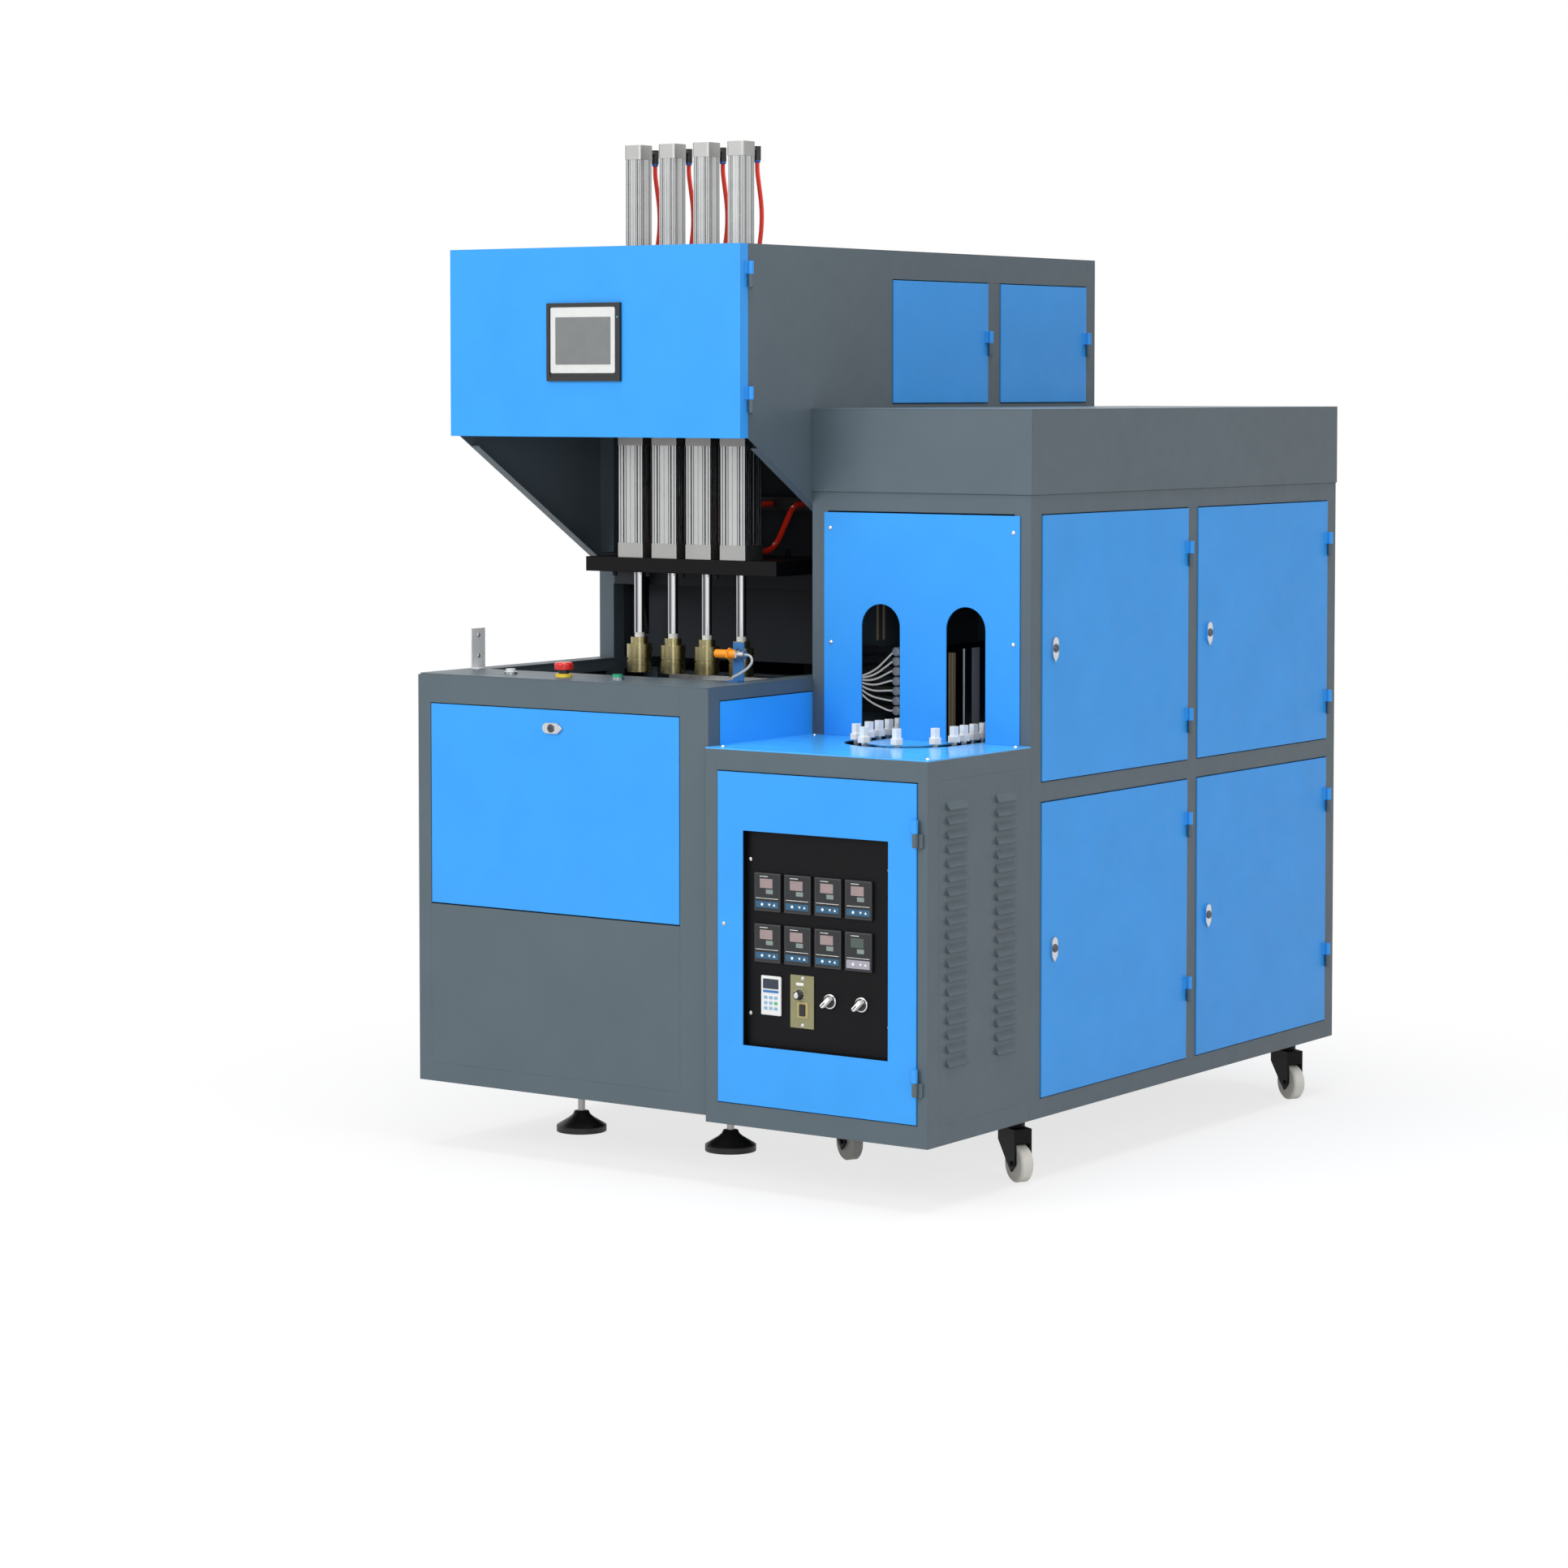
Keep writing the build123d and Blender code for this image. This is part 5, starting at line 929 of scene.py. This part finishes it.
def barrel_outline(side):
    """Closed outline of a square extrusion with grooves in its four faces."""
    face = [(-0.5, 0.0)]
    for place, width, depth in GROOVES:
        face += [(place - width / 2, 0.0), (place - width / 3, depth)]
        face += [(place + width / 3, depth), (place + width / 2, 0.0)]
    points = []
    for turn in range(4):
        c, s = round(math.cos(math.pi * turn / 2)), round(math.sin(math.pi * turn / 2))
        for along, depth in face:
            x, y = along * side, (depth - 0.5) * side
            points.append((c * x - s * y, s * x + c * y))
    return points


def cylinders():
    """Fluted barrels and chamfered end caps of the seal and stretch cylinders."""
    tubes = bmesh.new()
    ends = bmesh.new()
    for x in STATION_XS:
        for (z0, z1, z2, z3), square, chamfer in CYLINDERS:
            add_plate(tubes, barrel_outline(square - BARREL_INSET), (x, ROW_Y, z1), ACROSS, BACK, z2 - z1)
            half = square / 2
            for low, high in ((z0, z1), (z2, z3)):
                add_box(ends, (x - half, ROW_Y - half, low), (x + half, ROW_Y + half, high), chamfer, 2)
    for made in (piece("cylinder_barrels", tubes, "machine", barrels),
                 piece("cylinder_caps", ends, "machine", caps)):
        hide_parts("air_cylinders")


def cylinder_bolts():
    """Socket screws in the corners of the stretch cylinders' top caps."""
    bolts = bmesh.new()
    for x in STATION_XS:
        for dx in CAP_BOLT_OFFSETS:
            for dy in CAP_BOLT_OFFSETS:
                add_turned(bolts, (x + dx, ROW_Y + dy, CAP_BOLT_Z), UP, *CAP_BOLT)
    piece("cap_bolts", bolts, "machine", small["cap_bolt"])


def tube_collars():
    """Blue release collars where the red tubes enter their fittings."""
    collars = bmesh.new()
    for x in STATION_XS:
        add_turned(collars, (x, WIDE_COLLAR_Y, LOWER_TUBE_Z), BACK, *WIDE_COLLAR)
        add_turned(collars, (x, NARROW_COLLAR_Y, UPPER_TUBE_Z), DOWN, *NARROW_COLLAR)
    add_turned(collars, (STATION_XS[0], WIDE_COLLAR_Y, RETURN_TUBE_Z), BACK, *WIDE_COLLAR)
    piece("tube_collars", collars, "machine", small["collar_blue"])


def lamp_ends():
    """Pale sleeves, with a faint painted glow, and dark rings on the front ends of the left lamps."""
    sleeves = bmesh.new()
    rings = bmesh.new()
    for z in LAMP_LEVELS:
        add_turned(sleeves, (LAMP_X, LAMP_SLEEVE_Y, z), BACK, *LAMP_SLEEVE)
        add_turned(rings, (LAMP_X, LAMP_RING_Y, z), BACK, *LAMP_RING)
    piece("lamp_sleeves", sleeves, "machine", small["lamp_sleeve"], True)
    piece("lamp_rings", rings, "machine", small["lamp_ring"])


def oven_fittings():
    """Brass strips on the oven's left wall and island, black fins of the lamp sockets, bright reflector edges; the
    strips and edges carry a faint painted glow.
    """
    for name, slot, finish, boxes, bevel in (
        ("oven_strips", "brass", "oven_brass", STRIPS, 0.5),
        ("socket_fins", "black_plastic", "socket_black", FINS, 1.5),
        ("reflector_edges", "steel", "reflector_edge", EDGES, 0.3),
    ):
        bm = bmesh.new()
        for low, high in boxes:
            add_box(bm, low, high, bevel)
        piece(name, bm, "machine", small[finish])


def foot_boots():
    """Moulded boots that rise from the levelling feet round their stems."""
    boots = bmesh.new()
    for x in FOOT_XS:
        for y in FOOT_YS:
            add_turned(boots, (x, y, BOOT_Z), UP, *BOOT)
    piece("foot_boots", boots, "machine", small["boot_black"], True)


# Stage: floor, light and camera, in metres

FLOOR_SIZE = 60.0
FLOOR_GREY = (0.86, 0.86, 0.86, 1.0)
# Distances from the middle between which the floor fades to white, and the share of white at each
FLOOR_FADE = (0.9, 2.2)
FLOOR_SHARE = (0.76, 1.0)
# Strength of the world on the object, and as the camera and reflections see it
WORLD_LEVELS = (0.34, 1.0)
# Lamps: name, place, aim, diameter and power
LIGHTS = (
    ("key_light", (-1.6, -6.0, 4.2), (0.0, -0.2, 1.0), 3.6, 215.0),
    ("fill_light", (4.2, -6.2, 2.0), (0.3, -0.3, 1.0), 2.0, 70.0),
    ("side_light", (5.5, -1.6, 3.4), (0.4, 0.2, 0.9), 3.0, 40.0),
    ("top_light", (0.4, -0.4, 5.6), (0.1, -0.2, 0.0), 4.0, 260.0),
)


def seen(tree):
    """Mask for rays from the camera, or mirrored or passed on to it, which see the white studio."""
    path = tree.nodes.new("ShaderNodeLightPath")
    mask = path.outputs["Is Camera Ray"]
    for name in ("Is Glossy Ray", "Is Transmission Ray"):
        both = tree.nodes.new("ShaderNodeMath")
        both.operation = "MAXIMUM"
        tree.links.new(mask, both.inputs[0])
        tree.links.new(path.outputs[name], both.inputs[1])
        mask = both.outputs[0]
    return mask


def floor_material():
    """White floor that keeps the machine's shadow near it and fades into the white background."""
    ground = bpy.data.materials.new("studio_floor")
    ground.use_nodes = True
    tree = ground.node_tree
    tree.nodes.clear()
    out = tree.nodes.new("ShaderNodeOutputMaterial")
    diffuse = tree.nodes.new("ShaderNodeBsdfDiffuse")
    diffuse.inputs["Color"].default_value = FLOOR_GREY
    white = tree.nodes.new("ShaderNodeEmission")
    white.inputs["Strength"].default_value = 1.0
    place = tree.nodes.new("ShaderNodeTexCoord")
    away = tree.nodes.new("ShaderNodeVectorMath")
    away.operation = "LENGTH"
    fade = tree.nodes.new("ShaderNodeMapRange")
    fade.interpolation_type = "SMOOTHSTEP"
    fade.inputs["From Min"].default_value, fade.inputs["From Max"].default_value = FLOOR_FADE
    fade.inputs["To Min"].default_value, fade.inputs["To Max"].default_value = FLOOR_SHARE
    share = tree.nodes.new("ShaderNodeMath")
    share.operation = "MULTIPLY"
    mix = tree.nodes.new("ShaderNodeMixShader")
    tree.links.new(place.outputs["Object"], away.inputs[0])
    tree.links.new(away.outputs["Value"], fade.inputs["Value"])
    tree.links.new(seen(tree), share.inputs[0])
    tree.links.new(fade.outputs["Result"], share.inputs[1])
    tree.links.new(share.outputs[0], mix.inputs[0])
    tree.links.new(diffuse.outputs[0], mix.inputs[1])
    tree.links.new(white.outputs[0], mix.inputs[2])
    tree.links.new(mix.outputs[0], out.inputs[0])
    return ground


def stage():
    """Pale floor, soft studio light from the front left, and the photograph's camera."""
    scene = bpy.context.scene
    bpy.ops.mesh.primitive_plane_add(size=FLOOR_SIZE, location=(0.0, 0.0, 0.0))
    floor = bpy.context.object
    floor.name = "studio_floor"
    floor.data.materials.append(floor_material())

    world = bpy.data.worlds.new("studio")
    scene.world = world
    world.use_nodes = True
    tree = world.node_tree
    sky = tree.nodes["Background"]
    pick = tree.nodes.new("ShaderNodeMapRange")
    pick.inputs["To Min"].default_value, pick.inputs["To Max"].default_value = WORLD_LEVELS
    tree.links.new(seen(tree), pick.inputs["Value"])
    tree.links.new(pick.outputs["Result"], sky.inputs["Strength"])
    sky.inputs["Color"].default_value = (1.0, 1.0, 1.0, 1.0)

    for name, place, aim, size, power in LIGHTS:
        data = bpy.data.lights.new(name, "AREA")
        data.shape = "DISK"
        data.size = size
        data.energy = power
        lamp = bpy.data.objects.new(name, data)
        scene.collection.objects.link(lamp)
        lamp.location = place
        lamp.rotation_euler = (Vector(aim) - Vector(place)).to_track_quat("-Z", "Y").to_euler()

    data = bpy.data.cameras.new("photo_camera")
    data.sensor_width = SENSOR
    data.lens = SENSOR * CAMERA_FOCAL / IMAGE_SIZE
    data.shift_y = CAMERA_SHIFT
    data.clip_end = CAMERA_REACH
    camera = bpy.data.objects.new("photo_camera", data)
    scene.collection.objects.link(camera)
    camera.location = at(*CAMERA_AT)
    camera.rotation_euler = (math.radians(90.0 - CAMERA_PITCH), 0.0, math.radians(CAMERA_YAW))
    scene.camera = camera
    scene.view_settings.view_transform = "Standard"


locks()
screws()
regulators()
keypad()
speed_setter()
selectors()
operator_screen()
cylinders()
cylinder_bolts()
tube_collars()
lamp_ends()
oven_fittings()
foot_boots()
stage()
